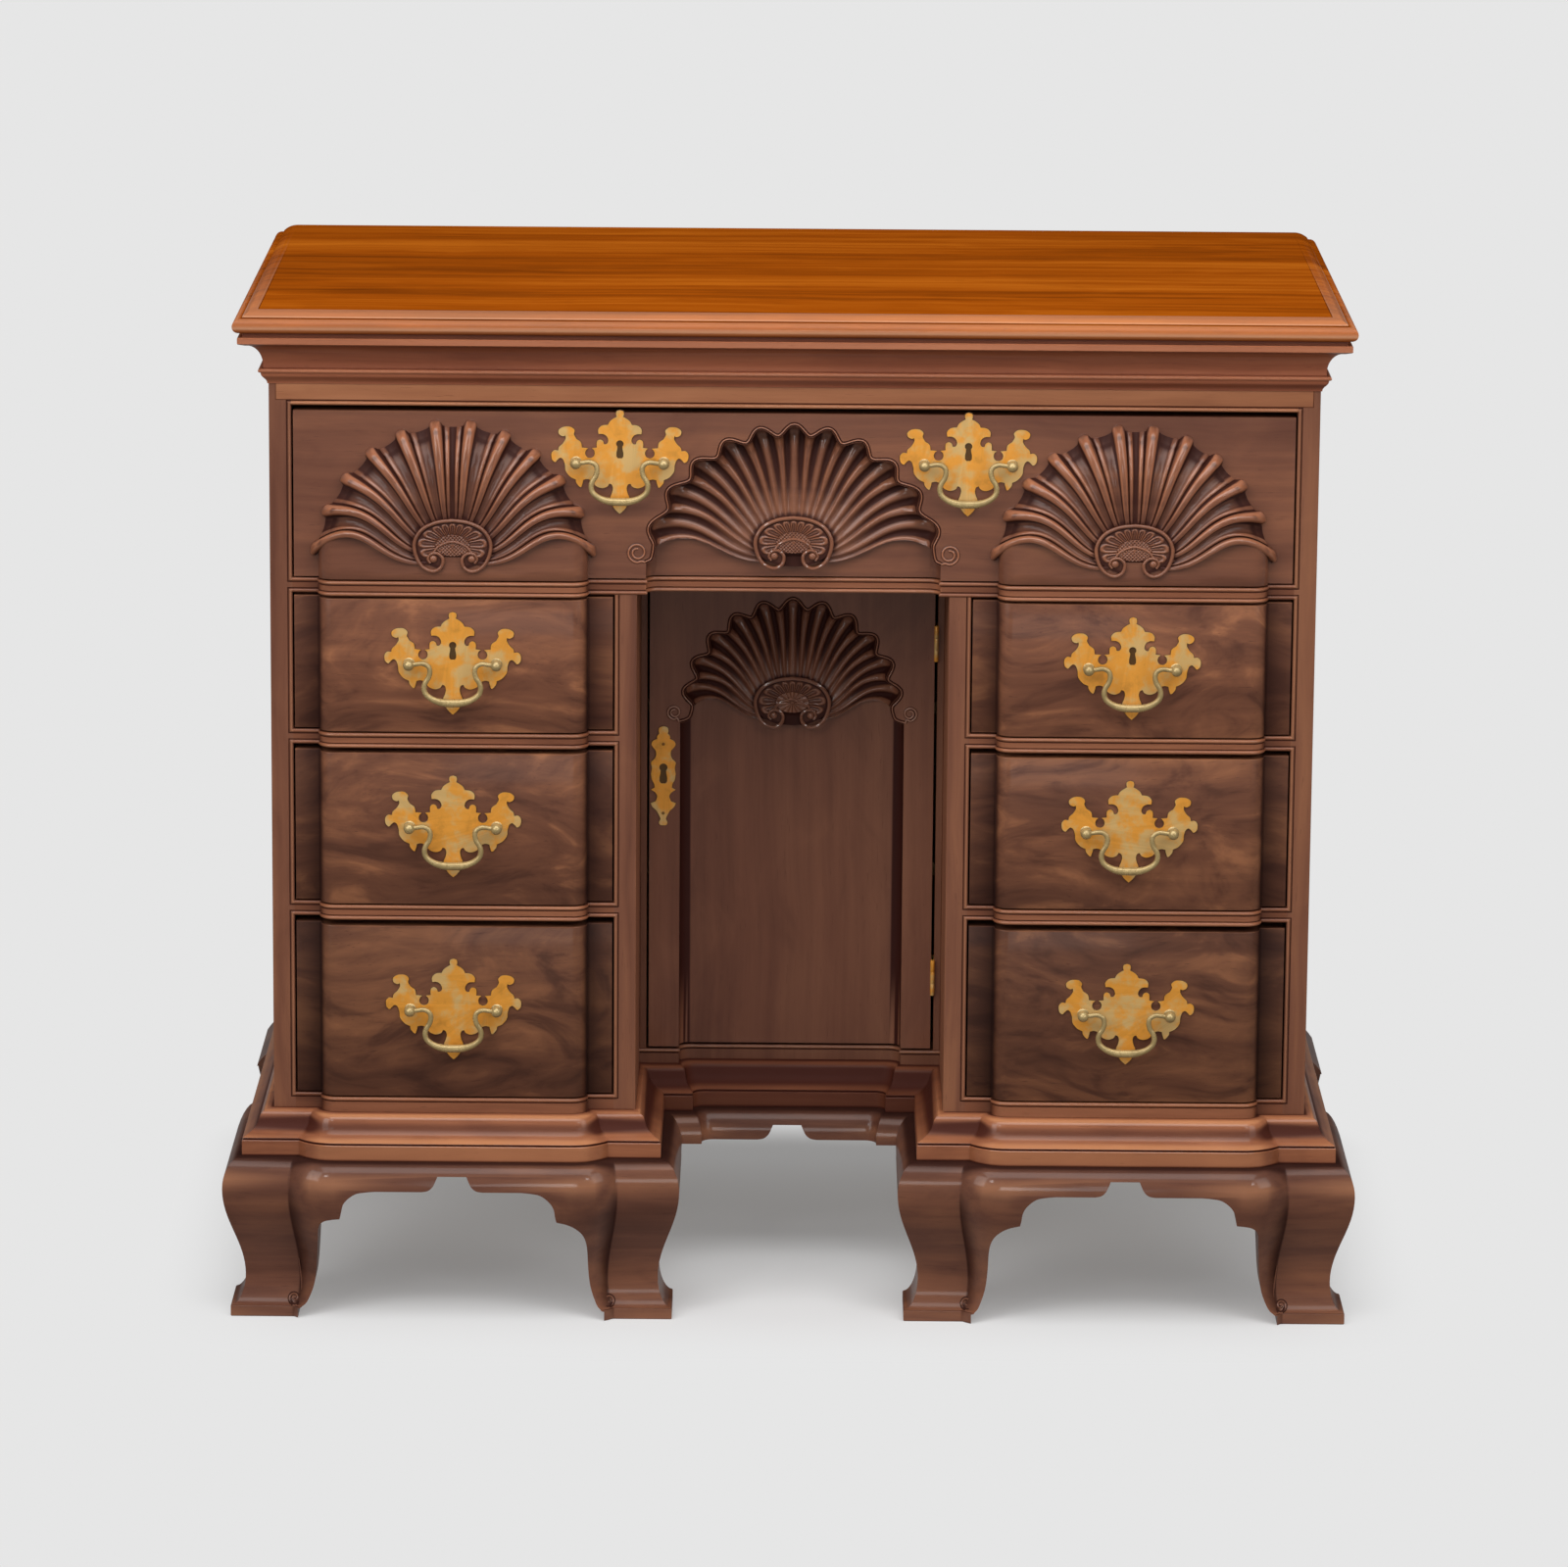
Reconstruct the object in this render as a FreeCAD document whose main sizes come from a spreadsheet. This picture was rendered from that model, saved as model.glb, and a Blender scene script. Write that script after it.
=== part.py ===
import FreeCAD, Part
import math
import os
import re

import Sketcher
from FreeCAD import Vector

# A block front kneehole chest: a case of two pedestals of three drawers each, one
# long drawer across the top, and a cupboard with a shell door at the back of the
# kneehole.  +Z is up, the front faces -Y, and the origin is on the floor at the
# middle of the whole outline.

doc = FreeCAD.newDocument("KneeholeChest")

SIZES = (
    ("case_width", 871, "over the case sides"),
    ("case_depth", 478, "front flats to the back of the sides"),
    ("side_board", 18.5, "case sides and kneehole sides"),
    ("back_board", 11, "boards nailed into the rebate behind"),
    ("kneehole_width", 260, "between the kneehole sides"),
    ("kneehole_recess", 156, "front flats back to the cupboard door"),
    ("foot_height", 138, "floor to the base moulding"),
    ("foot_bulge", 41.5, "ogee foot beyond the case at its fullest"),
    ("foot_bulge_height", 114, "floor to the fullest point of the ogee"),
    ("foot_top_out", 27.5, "ogee foot beyond the case at its top"),
    ("foot_waist_out", 22.5, "ogee foot beyond the case at its waist"),
    ("foot_waist_height", 43, "floor to the waist"),
    ("pad_out", 35.5, "foot pad beyond the case"),
    ("pad_height", 13, "flat pad under the ogee"),
    ("pad_width", 57, "pad along each face of a foot"),
    ("apron_deep", 22, "base moulding down to the lower edge of the aprons"),
    ("notch_height", 12, "notch in the middle of an apron"),
    ("notch_width", 22, "flat top of the notch"),
    ("notch_slant", 12, "spread of each side of the notch"),
    ("brace_thick", 20, "boards behind the rear feet"),
    ("brace_foot", 30, "those boards at the floor"),
    ("brace_head", 100, "those boards under the case"),
    ("base_band", 14, "flat band of the base moulding"),
    ("base_ogee", 22.4, "ogee above the band"),
    ("base_out", 25.6, "base moulding beyond the case"),
    ("kneehole_tuck", 3.5, "base moulding sits this much closer in the kneehole"),
    ("opening_lower", 153.9, "height of the lower drawer opening"),
    ("opening_middle", 134.9, "height of the middle drawer opening"),
    ("opening_upper", 116.2, "height of the upper drawer opening"),
    ("opening_long", 145.4, "height of the long drawer opening"),
    ("gap_over_lower", 5, "shadow gap over the lower drawer"),
    ("gap_over_middle", 4.2, "shadow gap over the middle drawer"),
    ("gap_over_upper", 2.2, "shadow gap over the upper drawer"),
    ("gap_over_long", 4.4, "shadow gap over the long drawer"),
    ("gap_under", 1.2, "gap under each drawer front"),
    ("gap_side", 1.5, "gap at each end of a drawer front"),
    ("slide_gap", 0.3, "drawer sides over their runners"),
    ("rail_thick", 12.6, "drawer rails"),
    ("rail_deep", 74, "drawer rails, front to back"),
    ("bead_size", 3.2, "beads worked round the openings"),
    ("bead_rise", 1.2, "beads beyond the case front"),
    ("frieze_height", 18, "frieze rail over the long drawer"),
    ("cornice_height", 45, "moulding under the top"),
    ("cove_drop", 30, "top of the cornice to the foot of its cove"),
    ("cove_rise", 19, "height of the cove"),
    ("cornice_out", 24, "moulding beyond the case"),
    ("top_thick", 18, "top board"),
    ("top_over", 28, "top beyond the case in front and at the sides"),
    ("top_over_back", 8, "top beyond the case behind"),
    ("nose_size", 6, "radius of the nosing of the top"),
    ("nose_step", 1.2, "fillet over the nosing"),
    ("edge_step", 8, "nosing to that fillet"),
    ("edge_flat", 20, "nosing to the flat of the top"),
    ("block_rise", 16, "blocks beyond the flats, and recess of the hollow ones"),
    ("block_round", 13, "rounded shoulders of the blocks"),
    ("block_width", 224, "raised blocks"),
    ("hollow_round", 10, "rounded corners of the hollow blocks"),
    ("hollow_width", 245, "hollow block of the long drawer"),
    ("door_hollow_width", 192, "hollow block of the door"),
    ("front_thick", 27, "drawer fronts and door, at the flats"),
    ("drawer_stop", 21, "drawer backs to the back boards"),
    ("drawer_side", 11, "drawer sides and backs"),
    ("drawer_bottom", 7, "drawer bottoms"),
    ("bottom_lift", 7, "drawer bottom over the lower edge of the sides"),
    ("side_drop", 8, "drawer sides below the top of their front"),
    ("door_bottom_gap", 2, "gap under the door"),
    ("door_gap", 2.6, "gap beside the door, where the hinges are"),
    ("frame_stile", 5.8, "strips beside the door"),
    ("frame_head", 5, "strip over the door"),
    ("dust_thick", 11, "dust board under the long drawer"),
    ("runner_wide", 22, "drawer runners"),
    ("shell_height", 30, "bottom of the long drawer to the shell centres"),
    ("shell_radius", 103.5, "raised shells, centre to the top rib"),
    ("crown_edge", 8, "rim of a raised shell's crown inside the tips of its ribs"),
    ("crown_slope", 30, "flat of that crown inside the tips of the ribs"),
    ("shell_spread", 116, "raised shells, centre to the lowest ribs"),
    ("hollow_shell_radius", 95, "hollow shell of the long drawer at its top"),
    ("hollow_shell_spread", 118, "hollow shell of the long drawer at its sides"),
    ("door_shell_radius", 94.5, "hollow shell of the door"),
    ("door_shell_drop", 121, "top of the door to its shell centre"),
    ("oval_width", 66, "carved oval at the heart of each shell"),
    ("oval_height", 42, "height of that oval"),
    ("plate_width", 113.7, "brass back plates"),
    ("plate_height", 87, "brass back plates"),
    ("plate_thick", 1.4, "sheet brass"),
    ("key_place", 12, "free edge of the door to its keyhole"),
    ("key_plate_width", 22, "brass plate round the door's keyhole"),
    ("key_plate_height", 88, "brass plate round the door's keyhole"),
    ("post_spacing", 72.8, "between the posts of a pull"),
    ("post_reach", 8.5, "plate to the axis of the bail"),
    ("post_ball", 4.7, "radius of a post's ball"),
    ("post_shank", 2.2, "radius of a post behind its ball"),
    ("post_collar", 4.2, "radius of a post's foot on the plate"),
    ("collar_rise", 1.4, "thickness of a post's foot"),
    ("bail_rod", 1.6, "radius of the bail"),
    ("bail_drop", 32, "axis of the bail to its grip"),
    ("bail_half", 23.5, "half the width of the bail at its widest"),
    ("pin_play", 0.1, "play of a bail's end in its post"),
    ("pull_from_shell", 138.25, "middle of a raised shell to the long drawer's pull beside it"),
    ("key_round", 3, "radius of a keyhole's round"),
    ("key_slot", 3, "width of a keyhole's slot"),
    ("key_drop", 12, "centre of a keyhole's round to the end of its slot"),
    ("lock_wide", 64, "lock of the long drawer"),
    ("lock_high", 46, "height of that lock"),
    ("lock_thick", 9, "both locks"),
    ("door_lock_wide", 42, "lock of the door"),
    ("door_lock_high", 56, "height of that lock"),
    ("lock_drop", 4, "locks below or behind the edge that they lock"),
    ("pull_drop", 41.5, "top of the long drawer to its pulls"),
    ("pull_raise", 2.5, "small pulls over the middle of their fronts"),
    ("hinge_height", 31, "length of a hinge"),
    ("hinge_barrel", 1.9, "radius of a hinge's barrel"),
    ("hinge_pin", 1, "radius of a hinge's pin"),
    ("hinge_leaf", 0.9, "thickness of a hinge's leaf"),
    ("hinge_deep", 20, "depth of a hinge's leaf"),
    ("hinge_inset", 48, "ends of the door to the hinges"),
)

sheet = doc.addObject("Spreadsheet::Sheet", "Sizes")
for row, (name, size, meaning) in enumerate(SIZES, start=1):
    sheet.set(f"A{row}", name)
    sheet.set(f"B{row}", str(size))
    sheet.set(f"C{row}", meaning)
    sheet.setAlias(f"B{row}", name)
doc.recompute()

# Places that follow from the sizes above.
PLACES = {
    "half_case": "case_width / 2",
    "knee": "kneehole_width / 2",
    "bay_outer": "half_case - side_board",
    "bay_inner": "knee + side_board",
    "bay_middle": "(bay_outer + bay_inner) / 2",
    "long_pull": "bay_middle - pull_from_shell",
    "block_inner": "bay_middle - block_width / 2",
    "block_outer": "bay_middle + block_width / 2",
    "front": "(block_rise + foot_bulge - case_depth - top_over_back) / 2",
    "back": "front + case_depth",
    "inside_back": "back - back_board",
    "door_face": "front + kneehole_recess",
    "base_top": "foot_height + base_band + base_ogee + rail_thick",
    "apron_height": "foot_height - apron_deep",
    "drawer_end": "inside_back - drawer_stop",
    "lower_rail": "base_top + opening_lower",
    "upper_rail": "lower_rail + rail_thick + opening_middle",
    "long_rail": "upper_rail + rail_thick + opening_upper",
    "long_floor": "long_rail + rail_thick",
    "frieze": "long_floor + opening_long",
    "cornice": "frieze + frieze_height",
    "case_top": "cornice + cornice_height",
    "block_curve": "min(block_round; block_rise - 0.5)",
    "hollow_curve": "min(hollow_round; block_rise - 0.5)",
    "hollow_half": "hollow_width / 2",
    "door_hollow": "door_hollow_width / 2",
    "door_bottom": "base_top + door_bottom_gap",
    "door_top": "long_rail - frame_head - door_bottom_gap",
    "door_left": "frame_stile + door_bottom_gap - knee",
    "door_right": "knee - frame_stile - door_gap",
    "hinge_line": "door_right + door_gap / 2",
    "hinge_axis": "door_face - hinge_barrel - 0.1",
    "dust_low": "long_floor - dust_thick",
    "edge_rise": "top_thick - 2 * nose_size - nose_step",
    "edge_round": "((edge_flat - edge_step) ^ 2 + edge_rise ^ 2) / (2 * edge_rise)",
}
FUNCTIONS = ("min", "max", "abs", "sqrt")


def formula(text):
    """Spell a formula out in cells of the sheet."""
    def spell(match):
        word = match.group()
        if word in FUNCTIONS:
            return word
        return f"({formula(PLACES[word])})" if word in PLACES else f"Sizes.{word}"
    return re.sub(r"[a-z][a-z_]*", spell, text)


def number(text):
    """Work a formula out."""
    return float(sheet.evalExpression(formula(text)))


parts = []


def keep(label, thing):
    """Name a finished sub-part, which gets a file of its own."""
    thing.Label = label
    parts.append(thing)
    return thing


def board(name, x, y, z):
    """A sawn board between a low and a high formula along each axis."""
    box = doc.addObject("Part::Box", name)
    for size, axis, (low, high) in zip(("Length", "Width", "Height"), "xyz", (x, y, z)):
        box.setExpression(size, formula(f"({high}) - ({low})"))
        box.setExpression(f"Placement.Base.{axis}", formula(low))
    return box


def group(name, pieces):
    """Several solids that make one sub-part."""
    compound = doc.addObject("Part::Compound", name)
    compound.Links = pieces
    return compound


def solid(name, shape):
    """A sub-part whose form is worked out from the sizes with Part's functions."""
    feature = doc.addObject("Part::Feature", name)
    feature.Shape = shape
    return feature


def mirrored(name, source):
    """The same piece on the other side of the chest."""
    mirror = doc.addObject("Part::Mirroring", name)
    mirror.Source = source
    mirror.Normal = Vector(1, 0, 0)
    return mirror


def arc_between(start, end, radius, side):
    """An arc that turns left (side 1) or right (side -1), and the ends it starts and stops at."""
    chord = end - start
    rise = math.sqrt(max(radius ** 2 - chord.Length ** 2 / 4, 0))
    centre = (start + end) / 2 + Vector(-chord.y, chord.x, 0).normalize() * rise * side
    angles = [math.atan2(place.y - centre.y, place.x - centre.x) for place in (start, end)]
    if side < 0:
        angles.reverse()
    if angles[1] < angles[0]:
        angles[1] += 2 * math.pi
    arc = Part.ArcOfCircle(Part.Circle(centre, Vector(0, 0, 1), radius), *angles)
    return arc, ((1, 2) if side > 0 else (2, 1))


def draw(sketch, points):
    """Draw a closed outline; a point is (u, v), or (u, v, radius, side) where an arc leaves it."""
    places = [Vector(number(point[0]), number(point[1]), 0) for point in points]
    edges = []
    for index, point in enumerate(points):
        start, end = places[index], places[(index + 1) % len(places)]
        curve, ends = Part.LineSegment(start, end), (1, 2)
        if len(point) > 2:
            curve, ends = arc_between(start, end, number(point[2]), point[3])
        edges.append((sketch.addGeometry(curve, False), *ends))
    for edge, following in zip(edges, edges[1:] + edges[:1]):
        sketch.addConstraint(Sketcher.Constraint("Coincident", edge[0], edge[2], following[0], following[1]))
    for (edge, start, _), place, point in zip(edges, places, points):
        bind(sketch, Sketcher.Constraint("DistanceX", -1, 1, edge, start, place.x), point[0])
        bind(sketch, Sketcher.Constraint("DistanceY", -1, 1, edge, start, place.y), point[1])
        if len(point) > 2:
            bind(sketch, Sketcher.Constraint("Radius", edge, number(point[2])), point[2])


def bind(sketch, constraint, text):
    """Add a constraint whose value is a formula."""
    index = sketch.addConstraint(constraint)
    sketch.setExpression(f"Constraints[{index}]", formula(text))


def pad(body, plane, points, low, high, feature="PartDesign::Pad"):
    """Pad, or pocket, an outline between two formulas along the plane's axis."""
    origin = {item.Role: item for item in body.Origin.OriginFeatures}
    sketch = body.newObject("Sketcher::SketchObject", body.Name + "_outline")
    sketch.AttachmentSupport = [(origin[plane], "")]
    sketch.MapMode = "FlatFace"
    start = f"-({high})" if plane == "XZ_Plane" else low
    sketch.setExpression("AttachmentOffset.Base.z", formula(start))
    draw(sketch, points)
    made = body.newObject(feature, body.Name + "_" + feature[12:])
    made.Profile = sketch
    made.setExpression("Length", formula(f"({high}) - ({low})"))
    if feature.endswith("Pocket"):
        made.Reversed = True
    return made


def body_of(name, plane, points, low, high):
    """A body made by one pad."""
    body = doc.addObject("PartDesign::Body", name)
    pad(body, plane, points, low, high)
    return body


def raised(left, right, face, out="0"):
    """The front of a raised block in plan, from left to right, a distance out from its face."""
    turn = f"block_curve + {out}"
    shoulder = f"{face} - block_rise + block_curve"
    top = f"{face} - block_rise - ({out})"
    return [
        (f"{left} - ({out})", f"{face} - ({out})"),
        (f"{left} - ({out})", shoulder, turn, 1),
        (f"{left} + block_curve", top),
        (f"{right} - block_curve", top, turn, 1),
        (f"{right} + {out}", shoulder),
        (f"{right} + {out}", f"{face} - ({out})"),
    ]


def hollowed(left, right, face, out="0"):
    """The front of a hollow block in plan, from left to right, a distance out from its face."""
    turn = f"hollow_curve - ({out})"
    corner = f"{face} + block_rise - hollow_curve"
    floor = f"{face} + block_rise - ({out})"
    return [
        (f"{left} + {out}", f"{face} - ({out})"),
        (f"{left} + {out}", corner, turn, -1),
        (f"{left} + hollow_curve", floor),
        (f"{right} - hollow_curve", floor, turn, -1),
        (f"{right} - ({out})", corner),
        (f"{right} - ({out})", f"{face} - ({out})"),
    ]


def plan(left, right, face, back, blocks, out="0"):
    """A board seen from above, with blocks along its front."""
    points = [(left, back), (left, f"{face} - ({out})")]
    for shape, block_left, block_right in blocks:
        points += shape(block_left, block_right, face, out)
    return points + [(right, f"{face} - ({out})"), (right, back)]


def blocked_rail(name, left, right, face, low, blocks):
    """A rail that follows the blocks, with a bead along both edges of its front."""
    high = f"{low} + rail_thick"
    rail = body_of(name, "XY_Plane", plan(left, right, face, f"{face} + rail_deep", blocks), low, high)
    beads = plan(left, right, face, f"{face} + block_rise + bead_size", blocks, "bead_rise")
    pad(rail, "XY_Plane", beads, low, f"{low} + bead_size")
    pad(rail, "XY_Plane", beads, f"{high} - bead_size", high)
    return rail


# Where each pedestal's bay begins and ends, and its raised block, from left to right.
BAYS = {
    "left": ("-(bay_outer)", "-(bay_inner)", "-(block_outer)", "-(block_inner)"),
    "right": ("bay_inner", "bay_outer", "block_inner", "block_outer"),
}
# The floor of each small drawer's opening, its height, and the gap over the drawer.
LEVELS = {
    "lower": ("base_top", "opening_lower", "gap_over_lower"),
    "middle": ("lower_rail + rail_thick", "opening_middle", "gap_over_middle"),
    "upper": ("upper_rail + rail_thick", "opening_upper", "gap_over_upper"),
}


def case():
    """The boards of the case, which hold everything else."""
    for side, left, right, inner in (
        ("left", "-(half_case)", "-(bay_outer)", "-(bay_outer) - bead_size"),
        ("right", "bay_outer", "half_case", "bay_outer"),
    ):
        rebate = "-(half_case) + side_board / 2" if side == "left" else "half_case - side_board / 2"
        edge = [(left, "front"), (right, "front")]
        if side == "left":
            edge += [(right, "inside_back"), (rebate, "inside_back"), (rebate, "back"), (left, "back")]
        else:
            edge += [(right, "back"), (rebate, "back"), (rebate, "inside_back"), (left, "inside_back")]
        case_side = body_of(f"side_{side}", "XY_Plane", edge, "foot_height", "case_top")
        bead = [(inner, "front - bead_rise"), (f"{inner} + bead_size", "front - bead_rise"),
                (f"{inner} + bead_size", "front + bead_size"), (inner, "front + bead_size")]
        pad(case_side, "XY_Plane", bead, "base_top", "frieze")
        keep(f"case_side_{side}", case_side)
    kneehole_sides = []
    for way, low, high, bead in (("left", "-(bay_inner)", "-(knee)", "-(bay_inner)"),
                                 ("right", "knee", "bay_inner", "bay_inner - bead_size")):
        edge = [(low, "front"), (high, "front"), (high, "inside_back"), (low, "inside_back")]
        wall = body_of(f"kneehole_{way}", "XY_Plane", edge, "foot_height", "long_rail")
        strip = [(bead, "front - bead_rise"), (f"{bead} + bead_size", "front - bead_rise"),
                 (f"{bead} + bead_size", "front + bead_size"), (bead, "front + bead_size")]
        pad(wall, "XY_Plane", strip, "base_top", "long_rail")
        kneehole_sides.append(wall)
    keep("kneehole_sides", group("kneehole_pair", kneehole_sides))


def back_and_bottoms():
    """Boards that close the case behind, below and between the drawers."""
    third = "(case_top - foot_height) / 3"
    half = "half_case - side_board / 2"
    boards = [
        board(f"back_{index}", (f"-({half})", half), ("inside_back", "back"),
              (f"foot_height + {index} * {third} + 0.4", f"foot_height + {index + 1} * {third} - 0.4"))
        for index in range(3)
    ]
    keep("back_boards", group("back_group", boards))
    behind = ("front + rail_deep", "inside_back")
    bottoms = [board(f"bottom_{side}", BAYS[side][:2], behind, ("base_top - dust_thick", "base_top"))
               for side in BAYS]
    keep("case_bottoms", group("bottom_group", bottoms))
    keep("dust_board", board("dust", ("-(bay_outer)", "bay_outer"), behind, ("dust_low", "long_floor")))
    runners = []
    for side in BAYS:
        low, high = BAYS[side][:2]
        for level in ("middle", "upper"):
            floor = LEVELS[level][0]
            thick = (f"{floor} - rail_thick", floor)
            runners.append(board(f"runner_{side}_{level}_a", (low, f"{low} + runner_wide"), behind, thick))
            runners.append(board(f"runner_{side}_{level}_b", (f"{high} - runner_wide", high), behind, thick))
    keep("drawer_runners", group("runner_group", runners))


def rails():
    """The rails between the drawers, which follow the blocks."""
    for side, (left, right, block_left, block_right) in BAYS.items():
        blocks = [(raised, block_left, block_right)]
        made = [blocked_rail(f"rail_{side}_{index}", left, right, "front", low, blocks)
                for index, low in enumerate(("base_top - rail_thick", "lower_rail", "upper_rail"))]
        keep(f"drawer_rails_{side}", group(f"rail_group_{side}", made))
    blocks = [
        (raised, *BAYS["left"][2:]),
        (hollowed, "-(hollow_half)", "hollow_half"),
        (raised, *BAYS["right"][2:]),
    ]
    rail = blocked_rail("rail_long", "-(bay_outer)", "bay_outer", "front", "long_rail", blocks)
    keep("long_drawer_rail", rail)
    frieze = body_of("frieze", "YZ_Plane", [
        ("front + side_board", "frieze"), ("front + side_board", "case_top"), ("front", "case_top"),
        ("front", "frieze + 1.5 * bead_size"), ("front - bead_rise", "frieze + 1.5 * bead_size"),
        ("front - bead_rise", "frieze")], "-(bay_outer)", "bay_outer")
    keep("frieze_rail", frieze)


def cupboard():
    """The frame, floor and shelves of the cupboard behind the kneehole."""
    deep = ("door_face", "door_face + front_thick")
    tall = ("base_top", "long_rail - frame_head")
    sill = blocked_rail("sill", "-(knee)", "knee", "door_face", "base_top - rail_thick",
                        [(hollowed, "-(door_hollow)", "door_hollow")])
    frame = [
        board("stile_left", ("-(knee)", "frame_stile - knee"), deep, tall),
        board("stile_right", ("knee - frame_stile", "knee"), deep, tall),
        board("head", ("-(knee)", "knee"), deep, ("long_rail - frame_head", "long_rail")),
        sill,
    ]
    keep("cupboard_frame", group("cupboard_frame_group", frame))
    floor = board("cupboard_floor", ("-(knee)", "knee"), ("door_face + rail_deep", "inside_back"),
                  ("base_top - dust_thick", "base_top"))
    shelves = [floor]
    for index in (1, 2):
        level = f"base_top + {index} / 3 * (long_rail - base_top)"
        shelves.append(board(f"shelf_{index}", ("-(knee)", "knee"),
                             ("door_face + 2 * front_thick", "inside_back"),
                             (level, f"{level} + dust_thick")))
    keep("cupboard_shelves", group("shelf_group", shelves))


def eased(knots, steps=5):
    """Points along a curve that runs level through each knot, as an ogee does."""
    points = [knots[0]]
    for (out, up), (next_out, next_up) in zip(knots, knots[1:]):
        for step in range(1, steps + 1):
            share = step / steps
            ease = (1 - math.cos(math.pi * share)) / 2
            points.append((out + (next_out - out) * ease, up + (next_up - up) * share))
    return points


def flat_sided(*rings):
    """A solid through rings of corners, closed at both ends, with a flat face for each edge."""
    faces = [rings[0], rings[-1]]
    for near, far in zip(rings, rings[1:]):
        corners = list(zip(near, far))
        faces += [[a, b, d, c] for (a, b), (c, d) in zip(corners, corners[1:] + corners[:1])]
    made = Part.Solid(Part.makeShell([Part.Face(Part.makePolygon(ring + ring[:1])) for ring in faces]))
    if made.Volume < 0:
        made.reverse()
    return made


def mitred(profile, path):
    """Carry (out, up) points to the right of a path; each straight run is a solid of its own."""
    ways = [Vector(b[0] - a[0], b[1] - a[1], 0).normalize() for a, b in zip(path, path[1:])]
    outs = [Vector(way.y, -way.x, 0) for way in ways]
    mitres = [outs[0]]
    mitres += [(a + b) / (1 + a.dot(b)) for a, b in zip(outs, outs[1:])]
    mitres.append(outs[-1])
    rings = [[Vector(x, y, up) + mitre * out for out, up in profile] for (x, y), mitre in zip(path, mitres)]
    return [flat_sided(near, far) for near, far in zip(rings, rings[1:])]


def wire_through(points):
    """A wire in plan through (x, y) points; a point with a third value ends an arc through it."""
    edges = []
    for start, end in zip(points, points[1:]):
        a, b = Vector(*start[:2], 0), Vector(*end[:2], 0)
        if len(end) == 2:
            edges.append(Part.LineSegment(a, b).toShape())
        else:
            edges.append(Part.Arc(a, Vector(*end[2], 0), b).toShape())
    return Part.Wire(edges)


def block_path(left, right, face):
    """The rounded front of a raised block in plan, as numbers."""
    curve, rise = number("block_curve"), number("block_rise")
    shoulder, top = face - rise + curve, face - rise
    slant = curve * (1 - math.sqrt(0.5))
    return [
        (left, face), (left, shoulder),
        (left + curve, top, (left + slant, top + slant)),
        (right - curve, top),
        (right, shoulder, (right - slant, top + slant)),
        (right, face),
    ]


def blocked_front(profile, run, left, right, face):
    """Add the part that follows a raised block to a straight run of moulding."""
    path = wire_through(block_path(left, right, face))
    ring = [Vector(left - out, face, up) for out, up in profile]
    sweep = Part.BRepOffsetAPI.MakePipeShell(path)
    sweep.add(Part.makePolygon(ring + ring[:1]))
    sweep.build()
    sweep.makeSolid()
    heights = [up for _, up in profile]
    outline = block_path(left, right, face) + [(left, face)]
    core = Part.Face(wire_through(outline)).extrude(Vector(0, 0, max(heights) - min(heights)))
    core.translate(Vector(0, 0, min(heights)))
    return run.multiFuse([sweep.shape(), core]).removeSplitter()


def case_path(tuck):
    """The line of the case in plan, from its back left corner round the kneehole."""
    half, front, back = number("half_case"), number("front"), number("back")
    knee, face = number("knee") + tuck, number("door_face")
    hollow, rise = number("door_hollow"), number("block_rise")
    left = [(-half, back), (-half, front), (-knee, front), (-knee, face)]
    left += [(-hollow, face), (-hollow, face + rise)]
    return left + [(-x, y) for x, y in reversed(left)]


def slab(low, high):
    """A plain block between two corners, used to trim a shape."""
    size = [b - a for a, b in zip(low, high)]
    return Part.makeBox(*size, Vector(*low))


def kneehole_walls():
    """The space that the two kneehole sides take, which mouldings are cut back to."""
    low, high = 0, number("case_top")
    near, far = number("front"), number("back")
    inner, outer = number("knee"), number("bay_inner") + number("kneehole_tuck")
    return [slab((inner, near, low), (outer, far, high)), slab((-outer, near, low), (-inner, far, high))]


def runs_round_case(profile):
    """The seven pieces of a moulding that goes round the case and into the kneehole."""
    runs = mitred(profile, case_path(number("kneehole_tuck")))
    face, middle, half = number("front"), number("bay_middle"), number("block_width") / 2
    runs[1] = blocked_front(profile, runs[1], -middle - half, -middle + half, face)
    runs[9] = blocked_front(profile, runs[9], middle - half, middle + half, face)
    behind = runs[3].multiFuse(runs[4:8]).removeSplitter()
    kneehole = [piece.cut(kneehole_walls()) for piece in (runs[2], behind, runs[8])]
    return runs[0], runs[1], *kneehole, runs[9], runs[10]


def base_moulding():
    """An ogee over a flat band, mitred round the case and returned into the kneehole."""
    low, out = number("foot_height"), number("base_out")
    shoulder = low + number("base_band")
    high = shoulder + number("base_ogee")
    ogee = eased([(out - 1.2, shoulder + 0.8), (1.5, high)], 7)
    profile = [(0, low), (out, low), (out, shoulder)] + ogee + [(0, high)]
    runs = runs_round_case(profile)
    keep("base_moulding", solid("base_runs", Part.makeCompound(list(runs))))


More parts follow.
